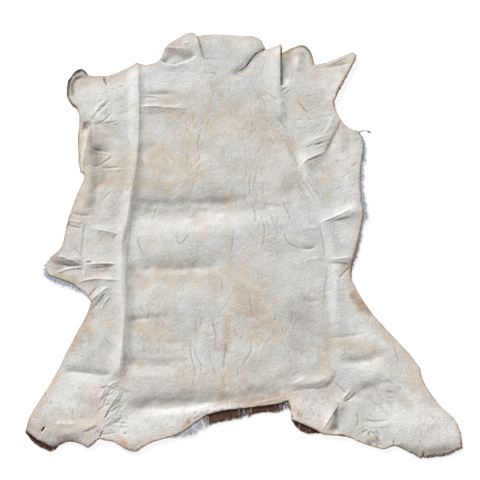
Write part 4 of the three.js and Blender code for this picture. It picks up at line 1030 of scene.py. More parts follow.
# Hair round the rim: how far it shows past the skin at each place, how brown it is from 0 to 1, and how
# sleek it lies, from 0 for shaggy tufts to 1 for an even edge. A reach below zero ends under the skin.
Hair = namedtuple("Hair", "name x y reach brown sleek")
HAIR = table(Hair, [
    ("neck left", -215, 505, -1, 0.4, 0),
    ("neck middle", -112, 553, -1, 0.4, 0),
    ("neck right", 27, 548, -1, 0.4, 0),
    ("neck slit", 18, 482, -2, 0.7, 0),
    ("step", 101, 524, 0, 0.6, 0),
    ("right lobe", 150, 520, 0, 0.7, 0),
    ("lobe foot", 188, 469, 1, 0.7, 0),
    ("right foreleg top", 242, 484, 0, 0.6, 0),
    ("right foreleg tip", 292, 494, 0, 0.6, 0),
    ("right foreleg inside", 256, 420, 0, 0.6, 0),
    ("armpit", 235, 358, -1, 0.3, 0),
    ("armpit low", 263, 300, 0, 0.1, 0),
    ("belly top", 296, 268, 3, 0.0, 0),
    ("belly 1", 308, 243, 10, 0.0, 0),
    ("belly 2", 307, 200, 11, 0.0, 0),
    ("belly 3", 297, 129, 11, 0.0, 0),
    ("belly 4", 300, 60, 15, 0.0, 0),
    ("belly 5", 300, 38, 15, 0.0, 0),
    ("belly 6", 296, 10, 9, 0.0, 0),
    ("belly 7", 286, -46, 8, 0.1, 0),
    ("belly 8", 275, -78, 8, 0.15, 0),
    ("belly 9", 267, -102, 6, 0.2, 0),
    ("belly foot", 264, -126, 0, 0.3, 0),
    ("right thigh top", 269, -150, -1, 0.4, 0),
    ("right thigh", 366, -285, 0, 0.4, 0),
    ("right shank tuft", 430, -352, 5, 0.05, 0),
    ("right shank", 446, -398, 2, 0.1, 0),
    ("right hind foot side", 496, -480, 2, 0.5, 0),
    ("right hind foot tip", 498, -535, 5, 0.8, 0.3),
    ("right hind foot low", 440, -559, 5, 0.8, 0.5),
    ("right heel", 350, -545, 1, 0.5, 0),
    ("right inner leg", 248, -528, 0, 0.5, 0),
    ("crescent foot", 180, -505, 0, 0.99, 1),
    ("crescent 5", 166, -499, 8, 0.99, 1),
    ("crescent 4", 150, -494, 17, 0.99, 1),
    ("crescent 3", 132, -488, 18, 0.99, 1),
    ("crescent 2", 120, -482, 11, 0.99, 1),
    ("crescent 1", 111, -478, 2, 0.99, 1),
    ("tail right side", 103, -450, 0, 0.6, 0),
    ("tail right corner", 101, -437, 12, 0.5, 0.2),
    ("tail 5", 92, -436, 18, 0.45, 0.2),
    ("tail 4", 77, -440, 22, 0.99, 0.8),
    ("tail 3", 42, -443, 16, 0.99, 1),
    ("tail 2", 20, -447, 18, 0.99, 1),
    ("tail 2 tuft", 5, -450, 24, 0.7, 0.5),
    ("tail 1", -37, -454, 27, 0.99, 1),
    ("tail 0", -78, -463, 26, 0.99, 0.9),
    ("rump 1", -90, -468, 30, 0.55, 0),
    ("rump 2", -102, -474, 34, 0.12, 0),
    ("rump 3", -118, -487, 27, 0.08, 0),
    ("rump 4", -132, -500, 17, 0.08, 0),
    ("rump 5", -148, -508, 12, 0.1, 0),
    ("rump 6", -166, -516, 5, 0.1, 0),
    ("rump 7", -190, -520, 0, 0.2, 0),
    ("left haunch", -222, -528, -1, 0.3, 0),
    ("left haunch tuft", -250, -546, 5, 0.15, 0),
    ("left haunch spot", -272, -541, 3, 0.2, 0),
    ("scallop", -330, -522, 0, 0.4, 0),
    ("left heel", -356, -541, 2, 0.4, 0.4),
    ("left inner foot", -396, -530, 0, 0.6, 0.4),
    ("left foot 6", -426, -537, 2, 0.99, 1),
    ("left foot 5", -436, -539, 8, 0.99, 1),
    ("left foot 4", -446, -536, 12, 0.99, 1),
    ("left foot 3", -469, -523, 13, 0.99, 1),
    ("left foot 2", -489, -510, 10, 0.99, 1),
    ("left foot 1", -501, -496, 3, 0.99, 1),
    ("left shank", -498, -460, -1, 0.4, 0),
    ("left thigh", -432, -350, -1, 0.4, 0),
    ("left groin", -374, -205, -1, 0.2, 0),
    ("belly fold 1", -379, -179, 4, 0.0, 0),
    ("belly fold 2", -400, -158, 9, 0.0, 0),
    ("belly fold 3", -420, -148, 13, 0.0, 0),
    ("belly fold 4", -450, -138, 15, 0.0, 0),
    ("belly tip", -476, -125, 15, 0.0, 0),
    ("belly tip 2", -487, -107, 14, 0.0, 0),
    ("belly tip 3", -478, -86, 10, 0.0, 0),
    ("belly tip top", -465, -65, 3, 0.0, 0),
    ("left flank", -440, -40, 0, 0.1, 0),
    ("left flank high", -425, 20, -1, 0.4, 0),
    ("left elbow", -398, 125, -1, 0.4, 0),
    ("left elbow tuft 1", -404, 152, 6, 0.0, 0),
    ("left elbow gap", -407, 166, 1, 0.1, 0),
    ("left elbow tuft 2", -424, 188, 5, 0.0, 0),
    ("left foreleg low", -428, 215, 0, 0.7, 0),
    ("left foreleg side", -420, 300, -1, 0.5, 0),
    ("left foreleg", -450, 350, 0, 0.99, 0),
    ("left foreleg tip", -440, 432, 0, 0.99, 0),
    ("left shoulder", -385, 425, 0, 0.5, 0),
    ("left shoulder tufts", -292, 444, 2, 0.3, 0),
    ("left collar", -240, 462, -1, 0.3, 0),
])

# The dried string of skin at the right armpit: centre line, with its width at each point
StringPoint = namedtuple("StringPoint", "x y z width")
STRING = table(StringPoint, [
    (289, 268, 8.0, 5.0),
    (294, 266, 7.6, 3.6),
    (300, 265.5, 6.8, 2.8),
    (306, 267.5, 5.6, 3.0),
    (313, 270, 4.8, 2.9),
    (319, 270.3, 4.0, 2.8),
    (324, 268.8, 3.6, 2.9),
    (328, 267.0, 3.4, 3.6),
    (331, 265.8, 3.4, 4.8),
    (333, 265.4, 2.8, 1.6),
])

# Slits in the neck's edge: the two sides lie close together, with a gap that narrows towards the slit's foot
Slit = namedtuple("Slit", "name reach gap route")
SLITS = table(Slit, [
    ("collar slit", 8, 1.0, COLLAR_SLIT),
    ("neck slit", 10, 2.6, NECK_SLIT),
])


def linear(name):
    """A named colour in linear light."""
    share = np.array(COLOURS[name]) / 255
    return np.where(share <= 0.04045, share / 12.92, ((share + 0.055) / 1.055) ** 2.4)


def blended(first, second, share):
    """Two named colours mixed, with a share for each entry."""
    return linear(first) + share[:, None] * (linear(second) - linear(first))


def smoothstep(share):
    """0 below 0, 1 above 1, and a smooth rise between."""
    held = np.clip(share, 0, 1)
    return held * held * (3 - 2 * held)


def unit(directions):
    """Directions made one long."""
    return directions / np.maximum(np.linalg.norm(directions, axis=-1, keepdims=True), 1e-9)


def turned_left(directions):
    """Level directions turned a quarter to their left."""
    return np.stack([-directions[..., 1], directions[..., 0]], axis=-1)


def bilinear(values, rows, columns, up, right):
    """Values between four cells, from two rows and two columns and the shares of the further ones."""
    low = values[rows[0], columns[0]] * (1 - right) + values[rows[0], columns[1]] * right
    high = values[rows[1], columns[0]] * (1 - right) + values[rows[1], columns[1]] * right
    return low * (1 - up) + high * up


def noise(x, y, size, seed):
    """Smooth noise from -1 to 1 with hills about one size across."""
    values = np.random.default_rng(SEED + seed).uniform(-1, 1, (NOISE_CELLS, NOISE_CELLS))
    turn = NOISE_TURN + seed
    u = (x * math.cos(turn) + y * math.sin(turn)) / size
    v = (y * math.cos(turn) - x * math.sin(turn)) / size
    column = np.floor(u).astype(int)
    row = np.floor(v).astype(int)
    rows = (row % NOISE_CELLS, (row + 1) % NOISE_CELLS)
    columns = (column % NOISE_CELLS, (column + 1) % NOISE_CELLS)
    return bilinear(values, rows, columns, smoothstep(v - row), smoothstep(u - column))


def hills(use, points):
    """The summed noise of one use at each point."""
    return sum(noise(points[:, 0], points[:, 1], row.size, row.seed) * row.share for row in HILLS[use])


def spline(points, step, closed=False, corner_turn=None):
    """A smooth line through points, with steps of about the given length and sharp turns left sharp."""
    points = np.asarray(points, float)
    count = len(points)
    spans = count if closed else count - 1
    before = np.roll(points, 1, axis=0)
    after = np.roll(points, -1, axis=0)
    sharp = np.zeros(count, bool)
    if corner_turn is not None:
        arriving = points - before
        leaving = after - points
        cross = arriving[:, 0] * leaving[:, 1] - arriving[:, 1] * leaving[:, 0]
        turns = np.degrees(np.arctan2(cross, (arriving * leaving).sum(axis=1)))
        sharp = np.abs(turns) > corner_turn
    if not closed:
        sharp[0] = sharp[-1] = True
    line = []
    for index in range(spans):
        follower = (index + 1) % count
        start = points[index]
        end = points[follower]
        length = np.linalg.norm(end - start)
        parts = max(1, round(length / step))
        start_slope = end - start if sharp[index] else (end - before[index]) / 2
        end_slope = end - start if sharp[follower] else (after[follower] - start) / 2
        for part in range(parts):
            t = part / parts
            line.append(
                (2 * t**3 - 3 * t**2 + 1) * start
                + (t**3 - 2 * t**2 + t) * start_slope
                + (3 * t**2 - 2 * t**3) * end
                + (t**3 - t**2) * end_slope
            )
    if not closed:
        line.append(points[-1])
    return np.array(line)


def follow(points, route):
    """For each point: how far it is from the route, which side of it (1 is port), and how far along it is."""
    if len(route) == 1:
        offsets = np.linalg.norm(points - route[0], axis=1)
        return offsets, np.ones(len(points)), np.zeros(len(points))
    nearest = np.full(len(points), np.inf)
    side = np.ones(len(points))
    along = np.zeros(len(points))
    travelled = 0.0
    for start, end in zip(route[:-1], route[1:]):
        run = end - start
        length = np.linalg.norm(run)
        share = np.clip(((points - start) @ run) / length**2, 0, 1)
        gap = points - start - share[:, None] * run
        distance = np.linalg.norm(gap, axis=1)
        closer = distance < nearest
        nearest[closer] = distance[closer]
        side[closer] = np.where(run[0] * gap[closer, 1] - run[1] * gap[closer, 0] >= 0, 1, -1)
        along[closer] = travelled + share[closer] * length
        travelled += length
    return nearest, side, along


def near_box(points, route, reach):
    """The indexes of the points within reach of the route's box."""
    low = route.min(axis=0) - reach
    high = route.max(axis=0) + reach
    return np.flatnonzero(((points >= low) & (points <= high)).all(axis=1))


def route_length(route):
    """The length of a line of points."""
    return np.linalg.norm(np.diff(route, axis=0), axis=1).sum()


def travel(line):
    """How far along a line each of its points is."""
    return np.concatenate([[0], np.cumsum(np.linalg.norm(np.diff(line, axis=0), axis=1))])


def rim_travel(ring):
    """How far along the rim each of its points is, and how long the rim is."""
    travelled = travel(np.concatenate([ring, ring[:1]]))
    return travelled[:-1], travelled[-1]


def along_rim(ring, rows):
    """A rim table's three values at each rim point, blended from one row's place to the next."""
    travelled, total = rim_travel(ring)
    marks = []
    for row in rows:
        nearest = np.linalg.norm(ring - (row.x, row.y), axis=1).argmin()
        marks.append((travelled[nearest], *row[3:]))
    marks = np.array(sorted(marks))
    return [np.interp(travelled, marks[:, 0], marks[:, column], period=total) for column in (1, 2, 3)]


def outward(ring):
    """The outward direction at each point of an anticlockwise ring."""
    return unit(-turned_left(np.roll(ring, -1, axis=0) - np.roll(ring, 1, axis=0)))


def rim_room(ring):
    """How far each rim point is from any part of the rim that isn't beside it along the edge."""
    travelled, total = rim_travel(ring)
    room = np.full(len(ring), MOST_ROOM)
    for index in range(len(ring)):
        apart = np.abs(travelled - travelled[index])
        apart = np.minimum(apart, total - apart)
        distance = np.linalg.norm(ring - ring[index], axis=1)
        elsewhere = apart > ROOM_DETOUR * distance + ROOM_START
        if elsewhere.any():
            room[index] = min(room[index], distance[elsewhere].min())
    return room


def cad_upper_faces(node):
    """The CAD node's upper faces with their shared corners joined: points in millimetres, and triangles."""
    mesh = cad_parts[node].data
    places = np.zeros(len(mesh.vertices) * 3)
    mesh.vertices.foreach_get("co", places)
    mesh.calc_loop_triangles()
    corners = np.zeros(len(mesh.loop_triangles) * 3, int)
    mesh.loop_triangles.foreach_get("vertices", corners)
    rounded = np.round(places.reshape(-1, 3) * (PARTS_PER_MM / MM)).astype(int)
    joined, index = np.unique(rounded, axis=0, return_inverse=True)
    points = joined / PARTS_PER_MM
    triangles = index.reshape(-1)[corners.reshape(-1, 3)]
    first, second, third = (points[triangles[:, corner]] for corner in range(3))
    normals = np.cross(second - first, third - first)
    upward = normals[:, 2] > UPPER_SHARE * np.linalg.norm(normals, axis=1)
    return points, triangles[upward]


def border_loops(triangles):
    """The loops of edges that only one triangle has, each in the triangles' own direction."""
    edges = np.concatenate([triangles[:, [0, 1]], triangles[:, [1, 2]], triangles[:, [2, 0]]])
    known = set(map(tuple, edges.tolist()))
    following = {start: end for start, end in known if (end, start) not in known}
    loops = []
    while following:
        start, spot = following.popitem()
        loop = [start]
        while spot != start:
            loop.append(spot)
            spot = following.pop(spot)
        loops.append(loop)
    return sorted(loops, key=len, reverse=True)


def read_rim(points, triangles):
    """The skin's outline, anticlockwise from above, smoothed, slightly ragged and without the string."""
    ring = points[border_loops(triangles)[0], :2]
    string = np.array([(point.x, point.y) for point in STRING[STRING_ROOT_POINTS:]])
    offsets = follow(ring, string)[0]
    ring = ring[offsets > STRING_CLEARANCE]
    ring = spline(ring, RIM_STEP, closed=True, corner_turn=CORNER_TURN)
    wander = hills("rim", ring) * np.minimum(RIM_RAGGEDNESS, RAGGED_ROOM_SHARE * rim_room(ring))
    return close_slits(ring + outward(ring) * wander[:, None])


def close_slits(ring):
    """The outline with the two sides of each slit drawn together, so that only a thin gap is left."""
    for slit in SLITS:
        route = spline(slit.route, SLIT_STEP)
        offsets, _, along = follow(ring, route)
        total = route_length(route)
        held = np.flatnonzero((offsets < slit.reach) & (along > SLIT_END) & (along < total - SLIT_END))
        tip = held[along[held].argmax()]
        travelled = travel(route)
        centre = np.stack([np.interp(along, travelled, route[:, axis]) for axis in range(2)], axis=1)
        slope = np.gradient(route, axis=0)
        run = np.stack([np.interp(along, travelled, slope[:, axis]) for axis in range(2)], axis=1)
        port = unit(turned_left(run))
        half = slit.gap / 2 * (1 - SLIT_TAPER * along / total)
        moved = ring.copy()
        kept = np.ones(len(ring), bool)
        for branch, side in ((held[held <= tip], 1), (held[held > tip][::-1], -1)):
            reached = 0
            for index in branch:
                kept[index] = along[index] > reached + SLIT_SPACING
                reached = max(reached, along[index])
                moved[index] = centre[index] + port[index] * side * half[index]
        ring = moved[kept]
    return ring


class Form:
    """The CAD skin's own relief, read at an even spacing and smoothed."""

    def __init__(self, points, triangles):
        tree = BVHTree.FromPolygons(points.tolist(), triangles.tolist())
        self.low = points[:, :2].min(axis=0) - FORM_MARGIN
        high = points[:, :2].max(axis=0) + FORM_MARGIN
        columns, rows = np.ceil((high - self.low) / FORM_STEP).astype(int) + 1
        above = points[:, 2].max() + FORM_RAY_START
        heights = np.full((rows, columns), np.nan)
        down = Vector((0, 0, -1))
        for row in range(rows):
            y = self.low[1] + row * FORM_STEP
            for column in range(columns):
                place = tree.ray_cast(Vector((self.low[0] + column * FORM_STEP, y, above)), down)[0]
                if place is not None:
                    heights[row, column] = place.z
        self.heights = self.smoothed(self.filled(heights), FORM_SMOOTHING)

    @staticmethod
    def filled(heights):
        """Carries the edge's heights outwards over the empty cells."""
        while np.isnan(heights).any():
            around = np.pad(heights, 1, constant_values=np.nan)
            beside = np.stack([around[:-2, 1:-1], around[2:, 1:-1], around[1:-1, :-2], around[1:-1, 2:]])
            known = ~np.isnan(beside)
            mean = np.where(known, beside, 0).sum(axis=0) / np.maximum(known.sum(axis=0), 1)
            reachable = np.isnan(heights) & known.any(axis=0)
            heights = np.where(reachable, mean, heights)
        return heights

    @staticmethod
    def smoothed(heights, passes):
        """Averages each cell with its neighbours, as often as asked."""
        for _ in range(passes):
            around = np.pad(heights, 1, mode="edge")
            heights = (around[:-2, 1:-1] + 2 * heights + around[2:, 1:-1]) / 4
            around = np.pad(heights, 1, mode="edge")
            heights = (around[1:-1, :-2] + 2 * heights + around[1:-1, 2:]) / 4
        return heights

    def cells(self):
        """The place of each cell, as one long list."""
        rows, columns = self.heights.shape
        x = self.low[0] + np.arange(columns) * FORM_STEP
        y = self.low[1] + np.arange(rows) * FORM_STEP
        return np.stack([np.tile(x, rows), np.repeat(y, columns)], axis=1)

    def sample(self, points, values=None):
        """The height at each point, or another raster's value there."""
        values = self.heights if values is None else values
        spots = (points - self.low) / FORM_STEP
        last_row, last_column = np.array(values.shape) - 2
        column = np.clip(np.floor(spots[:, 0]).astype(int), 0, last_column)
        row = np.clip(np.floor(spots[:, 1]).astype(int), 0, last_row)
        right = np.clip(spots[:, 0] - column, 0, 1)
        up = np.clip(spots[:, 1] - row, 0, 1)
        return bilinear(values, (row, row + 1), (column, column + 1), up, right)


def family_creases():
    """The short wrinkles of each family, laid out by their patch's own numbers."""
    creases = []
    dice = np.random.default_rng(SEED)
    for family in WRINKLES:
        for _ in range(family.count):
            x = family.x + family.half_x * dice.uniform(-1, 1)
            y = family.y + family.half_y * dice.uniform(-1, 1)
            heading = math.radians(family.heading + family.spread * dice.uniform(-1, 1))
            bend = math.radians(dice.uniform(-WRINKLE_BEND, WRINKLE_BEND))
            half = family.length * dice.uniform(*WRINKLE_HALF_SPREAD)
            tail = (x - half * math.cos(heading - bend), y - half * math.sin(heading - bend))
            head = (x + half * math.cos(heading + bend), y + half * math.sin(heading + bend))
            depth = -family.depth * dice.uniform(*WRINKLE_DEPTH_SPREAD)
            reach = WRINKLE_REACH * dice.uniform(*WRINKLE_REACH_SPREAD)
            creases.append(Crease(family.name, depth, reach, reach, half, [tail, (x, y), head]))
    return creases


class Surface:
    """The top of the skin: the CAD form with its creases, wrinkles and swells."""

    def __init__(self, form):
        self.form = form
        self.creases = [(crease, spline(crease.route, CREASE_STEP)) for crease in CREASES + family_creases()]

    @staticmethod
    def ends(crease, route, along, lead=0):
        """1 along a crease's middle, and its fade towards both ends."""
        total = route_length(route)
        fade = min(crease.fade, total / 2)
        return smoothstep(along / fade + lead) * smoothstep((total - along) / fade + lead)

    def relief(self, points):
        """What the creases add at each point."""
        added = np.zeros(len(points))
        for number, (crease, route) in enumerate(self.creases):
            chosen = near_box(points, route, max(crease.port, crease.starboard) + 1)
            if not len(chosen):
                continue
            x, y = points[chosen].T
            offsets, side, along = follow(points[chosen], route)
            extent = np.where(side > 0, crease.port, crease.starboard)
            waver = CREASE_WAVER * noise(x, y, WAVER_SIZE, WAVER_SEEDS[number % len(WAVER_SEEDS)])
            offsets = np.maximum(offsets + waver * np.clip((extent - WAVER_FROM) / WAVER_RISE, 0, 1), 0)
            off = np.clip(offsets / extent, 0, 1)
            sharpness = np.interp(extent, [NARROW_REACH, BROAD_REACH], [NARROW_SHARPNESS, BROAD_SHARPNESS])
            profile = (1 - off) ** 2 * (1 + 2 * (1 - sharpness) * off)
            ends = self.ends(crease, route, along, CREASE_LEAD)
            uneven = noise(x, y, UNEVEN_SIZE, UNEVEN_SEEDS[number % len(UNEVEN_SEEDS)])
            added[chosen] += crease.rise * profile * ends * (1 + CREASE_UNEVENNESS * uneven)
        return added

    def lines(self, points):
        """Painted shade with grime in the narrow troughs at each point, and painted highlight on narrow
        crests.
        """
        dirt = np.zeros(len(points))
        painted_highlight = np.zeros(len(points))
        for crease, route in self.creases:
            if abs(crease.rise) < LINE_LEAST_RISE or min(crease.port, crease.starboard) > LINE_WIDEST_CREASE:
                continue
            chosen = near_box(points, route, LINE_REACH)
            if not len(chosen):
                continue
            offsets, _, along = follow(points[chosen], route)
            narrow = smoothstep(LINE_PLATEAU - offsets / LINE_REACH)
            weight = self.ends(crease, route, along) * narrow * min(1, abs(crease.rise) / LINE_FULL_RISE)
            laid = dirt if crease.rise < 0 else painted_highlight
            laid[chosen] = np.maximum(laid[chosen], weight)
        return dirt, painted_highlight

    def height(self, points):
        """The top's height at each point. Low places ease up to stay above the least top."""
        above = self.form.sample(points) + self.relief(points) + hills("swell", points) - LEAST_TOP
        eased = TOP_EASE * np.exp(np.minimum(above / TOP_EASE, 2) - 2) * 2
        return LEAST_TOP + np.where(above > 2 * TOP_EASE, above, eased)

    def lowest_near(self, points, reach):
        """The lowest height round each point."""
        lowest = self.height(points)
        for angle in range(0, 360, 60):
            turn = math.radians(angle)
            shift = np.array([math.cos(turn), math.sin(turn)]) * reach
            for share in (1, 0.5):
                lowest = np.minimum(lowest, self.height(points + shift * share))
        return lowest


def cut_loop(cut):
    """The outline of a cut, as a narrow pointed oval."""
    angles = np.linspace(0, 2 * math.pi, CUT_SIDES + 1)[:-1]
    along = np.cos(angles) * cut.length / 2
    across = np.sin(angles) * np.abs(np.sin(angles)) ** CUT_BLUNTNESS * cut.width / 2
    heading = math.radians(cut.heading)
    x = cut.x + along * math.cos(heading) - across * math.sin(heading)
    y = cut.y + along * math.sin(heading) + across * math.cos(heading)
    return np.stack([x, y], axis=1)


def inside_loop(points, loop):
    """Which points are within one closed loop."""
    held = np.zeros(len(points), bool)
    for start, end in zip(loop, np.roll(loop, -1, axis=0)):
        if start[1] != end[1]:
            crosses = (start[1] <= points[:, 1]) != (end[1] <= points[:, 1])
            at = start[0] + (points[:, 1] - start[1]) / (end[1] - start[1]) * (end[0] - start[0])
            held ^= crosses & (points[:, 0] < at)
    return held


class Plan:
    """The skin's outline and cuts seen from above, with what is inside and how far the edge is."""

    def __init__(self, ring, loops=()):
        self.ring = ring
        self.loops = list(loops)
        self.borders = [self.ring, *self.loops]
        self.tree = self.tree_of([spline(border, SEARCH_STEP, closed=True) for border in self.borders])
        self.rim_tree = self.tree_of([spline(self.ring, SEARCH_STEP, closed=True)])

    @staticmethod
    def tree_of(lines):
        """A search tree over the points of some lines."""
        points = np.concatenate(lines)
        tree = KDTree(len(points))
        for index, (x, y) in enumerate(points):
            tree.insert((x, y, 0), index)
        tree.balance()
        return tree

    def rows_inside(self, y):
        """The crossings of the borders with a line at that height, from left to right."""
        crossings = []
        for border in self.borders:
            after = np.roll(border, -1, axis=0)
            rising = (border[:, 1] <= y) != (after[:, 1] <= y)
            start_x, start_y = border[rising].T
            end_x, end_y = after[rising].T
            crossings.append(start_x + (y - start_y) / (end_y - start_y) * (end_x - start_x))
        return np.sort(np.concatenate(crossings))

    def inside(self, points):
        """Which points are within the skin, outside its cuts."""
        held = np.zeros(len(points), bool)
        for y in np.unique(points[:, 1]):
            row = np.flatnonzero(points[:, 1] == y)
            held[row] = np.searchsorted(self.rows_inside(y), points[row, 0]) % 2 == 1
        return held

    def edge_distance(self, points):
        """The distance of each point from the nearest edge or cut."""
        return np.array([self.tree.find((x, y, 0))[2] for x, y in points.tolist()])

    def rim_distance(self, points):
        """The distance of each point from the outer edge."""
        return np.array([self.rim_tree.find((x, y, 0))[2] for x, y in points.tolist()])

    def nearest_on_rim(self, points):
        """The index of the rim point that is nearest to each point."""
        tree = self.tree_of([self.ring])
        return np.array([tree.find((x, y, 0))[1] for x, y in points.tolist()])

    def lattice(self, step, keep=None):
        """Points inside on a triangular lattice; keep picks the ones that stay at full density."""
        low = self.ring.min(axis=0)
        high = self.ring.max(axis=0)
        row_step = step * math.sqrt(3) / 2
        row_count = int((high[1] - low[1]) / row_step) + 1
        column_count = int((high[0] - low[0]) / step) + 2
        row = np.repeat(np.arange(row_count), column_count)
        column = np.tile(np.arange(column_count), row_count)
        x = low[0] + (column + 0.5 * (row % 2)) * step
        y = low[1] + row * row_step + LATTICE_SHIFT
        points = np.stack([x, y], axis=1)
        held = self.inside(points)
        if keep is not None:
            coarse = (row % 2 == 0) & ((column + row // 2) % 2 == 0)
            held &= coarse | keep(points)
        points = points[held]
        return points[self.edge_distance(points) > LATTICE_EDGE_SHARE * min(step, RIM_STEP)]

    def triangles(self, inner):
        """Triangles over the whole plan. Their points are the borders' points, then the inner ones."""
        places = np.concatenate([*self.borders, inner])
        edges = []
        start = len(self.ring)
        for loop in self.loops:
            count = len(loop)
            edges.extend((start + index, start + (index + 1) % count) for index in range(count))
            start += count
        outline = list(range(len(self.ring)))
        made = geometry.delaunay_2d_cdt([Vector(place) for place in places], edges, [outline], 1, SAME_PLACE)
        source = np.array([index[0] if index else -1 for index in made[3]])
        faces = source[np.array(made[2])]
        faces = faces[(faces >= 0).all(axis=1)]
        middle = places[faces].mean(axis=1)
        solid = np.ones(len(faces), bool)
        for cut, loop in zip(CUTS, self.loops):
            close = np.flatnonzero(np.linalg.norm(middle - (cut.x, cut.y), axis=1) < cut.length)
            solid[close] = ~inside_loop(middle[close], loop)
        faces = faces[solid]
        a, b, c = (places[faces[:, corner]] for corner in range(3))
        turn = (b[:, 0] - a[:, 0]) * (c[:, 1] - a[:, 1]) - (b[:, 1] - a[:, 1]) * (c[:, 0] - a[:, 0])
        faces = np.where((turn < 0)[:, None], faces[:, ::-1], faces)
        return places, faces[np.abs(turn) > FLAT_FACE]


def layered(top, middle, low, top_faces, low_faces):
    """A slab closed round its borders by way of a middle row: its points, and its faces in three groups."""
    middle_start = len(top)
    low_start = middle_start + len(middle)
    walls = []
    for loop in border_loops(top_faces):
        a = np.array(loop)
        b = np.roll(a, -1)
        walls.append(np.stack([b, a, a + middle_start, b + middle_start], axis=1))
        walls.append(np.stack([b + middle_start, a + middle_start, a + low_start, b + low_start], axis=1))
    faces = [top_faces, low_faces[:, ::-1] + low_start, np.concatenate(walls)]
    return np.concatenate([top, middle, low]), faces


def make_piece(name, points, faces, colours, material, node):
    """A mesh object from points in millimetres, faces of three or four corners and a colour at each point."""
    mesh = bpy.data.meshes.new(name)
    mesh.vertices.add(len(points))
    mesh.vertices.foreach_set("co", (np.asarray(points, float) * MM).ravel())
    sizes = np.concatenate([np.full(len(group), group.shape[1]) for group in faces])
    corners = np.concatenate([group.ravel() for group in faces])
    mesh.loops.add(len(corners))
    mesh.loops.foreach_set("vertex_index", corners)
    mesh.polygons.add(len(sizes))
    mesh.polygons.foreach_set("loop_start", np.concatenate([[0], np.cumsum(sizes)[:-1]]))
    mesh.update(calc_edges=True)
    mesh.polygons.foreach_set("use_smooth", np.ones(len(sizes), bool))
    tint = mesh.attributes.new("tint", "FLOAT_COLOR", "POINT")
    tint.data.foreach_set("color", np.column_stack([colours, np.ones(len(points))]).ravel())
    mesh.materials.append(material)
    mesh.validate()
    piece = bpy.data.objects.new(name, mesh)
    bpy.context.scene.collection.objects.link(piece)
    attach(piece, "root")
    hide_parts(node)
    return piece


class Colours:
    """The skin's colour at each point, laid over cream layer by layer."""

    def __init__(self, points):
        self.points = points
        self.values = np.tile(linear("cream"), (len(points), 1))
        self.ragged = hills("ragged", points)

    def lay(self, name, weight):
        """Mixes in a named colour, by a weight for each point."""
        weight = np.clip(weight, 0, 1)[:, None]
        self.values = self.values * (1 - weight) + linear(name) * weight

    def lay_mottle(self):
        """Large and small patches of tone that have no place of their own."""
        for name, share in MOTTLE.items():
            self.lay(name, share + hills(name, self.points))

    def lay_paints(self, paints):
        """Patches, stains, marks, painted shade and painted highlights along their routes."""
        for paint in paints:
            route = np.array(paint.route, float)
            chosen = near_box(self.points, route, PAINT_BOX_SHARE * paint.reach + paint.ragged)
            offsets = follow(self.points[chosen], route)[0] + self.ragged[chosen] * paint.ragged
            weight = np.zeros(len(self.points))
            weight[chosen] = paint.strength * smoothstep(PAINT_PLATEAU - offsets / paint.reach)
            self.lay(paint.colour, weight)

    def lay_rim(self, plan):
        """The peach band along the rim, and its thin pink, brown and dark edge."""
        rim = plan.rim_distance(self.points)
        uneven = 0.5 + hills("rim tone", self.points)
        band = smoothstep(1 - (rim + RIM_PEACH_RAGGED * self.ragged) / RIM_PEACH_REACH)
        self.lay("peach", RIM_PEACH * band)
        close = np.flatnonzero(rim < RIM_SEARCH)
        nearest = plan.nearest_on_rim(self.points[close])
        brown, dark, reach = (np.zeros(len(self.points)) for _ in range(3))
        for laid, values in zip((brown, dark, reach), along_rim(plan.ring, EDGES)):
            laid[close] = values[nearest]
        inward = (rim + RIM_RAGGED * self.ragged) / np.maximum(reach, 1)
        self.lay("pink", (RIM_PINK + RIM_PINK_SPREAD * uneven) * smoothstep(1 - inward / RIM_PINK_REACH))
        self.lay("brown", brown * smoothstep(RIM_BROWN_PLATEAU - inward))
        # the dark edge is partly painted shadow, along the slits and at the pleat's foot
        self.lay("dark", dark * smoothstep(RIM_DARK_PLATEAU - RIM_DARK_NARROWING * inward))

    def lay_relief(self, surface):
        """Painted shade in hollows, painted highlight on crests, and painted shade with grime and painted
        highlight along narrow creases.
        """
        form = surface.form
        fine = surface.height(form.cells()).reshape(form.heights.shape)
        hollow = form.sample(self.points, form.smoothed(fine, HOLLOW_SMOOTHING) - fine)
        self.lay("shade", HOLLOW_SHADE * hollow)
        self.lay("pale", -CREST_PALE * hollow)
        # painted shade with grime in the narrow troughs, and painted highlight on the narrow crests
        dirt, painted_highlight = surface.lines(self.points)
        self.lay("line", LINE_DIRT_AND_SHADE * dirt)
        self.lay("pale", LINE_PALE * painted_highlight)


def skin_colours(plan, surface, points):
    """The skin's colour at each point. The dark paints, real marks and painted shadow lines, are laid last."""
    colours = Colours(points)
    colours.lay_mottle()
    colours.lay_paints([paint for paint in PAINTS if paint.colour != "dark"])
    colours.lay_rim(plan)
    colours.lay_relief(surface)
    colours.lay_paints([paint for paint in PAINTS if paint.colour == "dark"])
    return colours.values


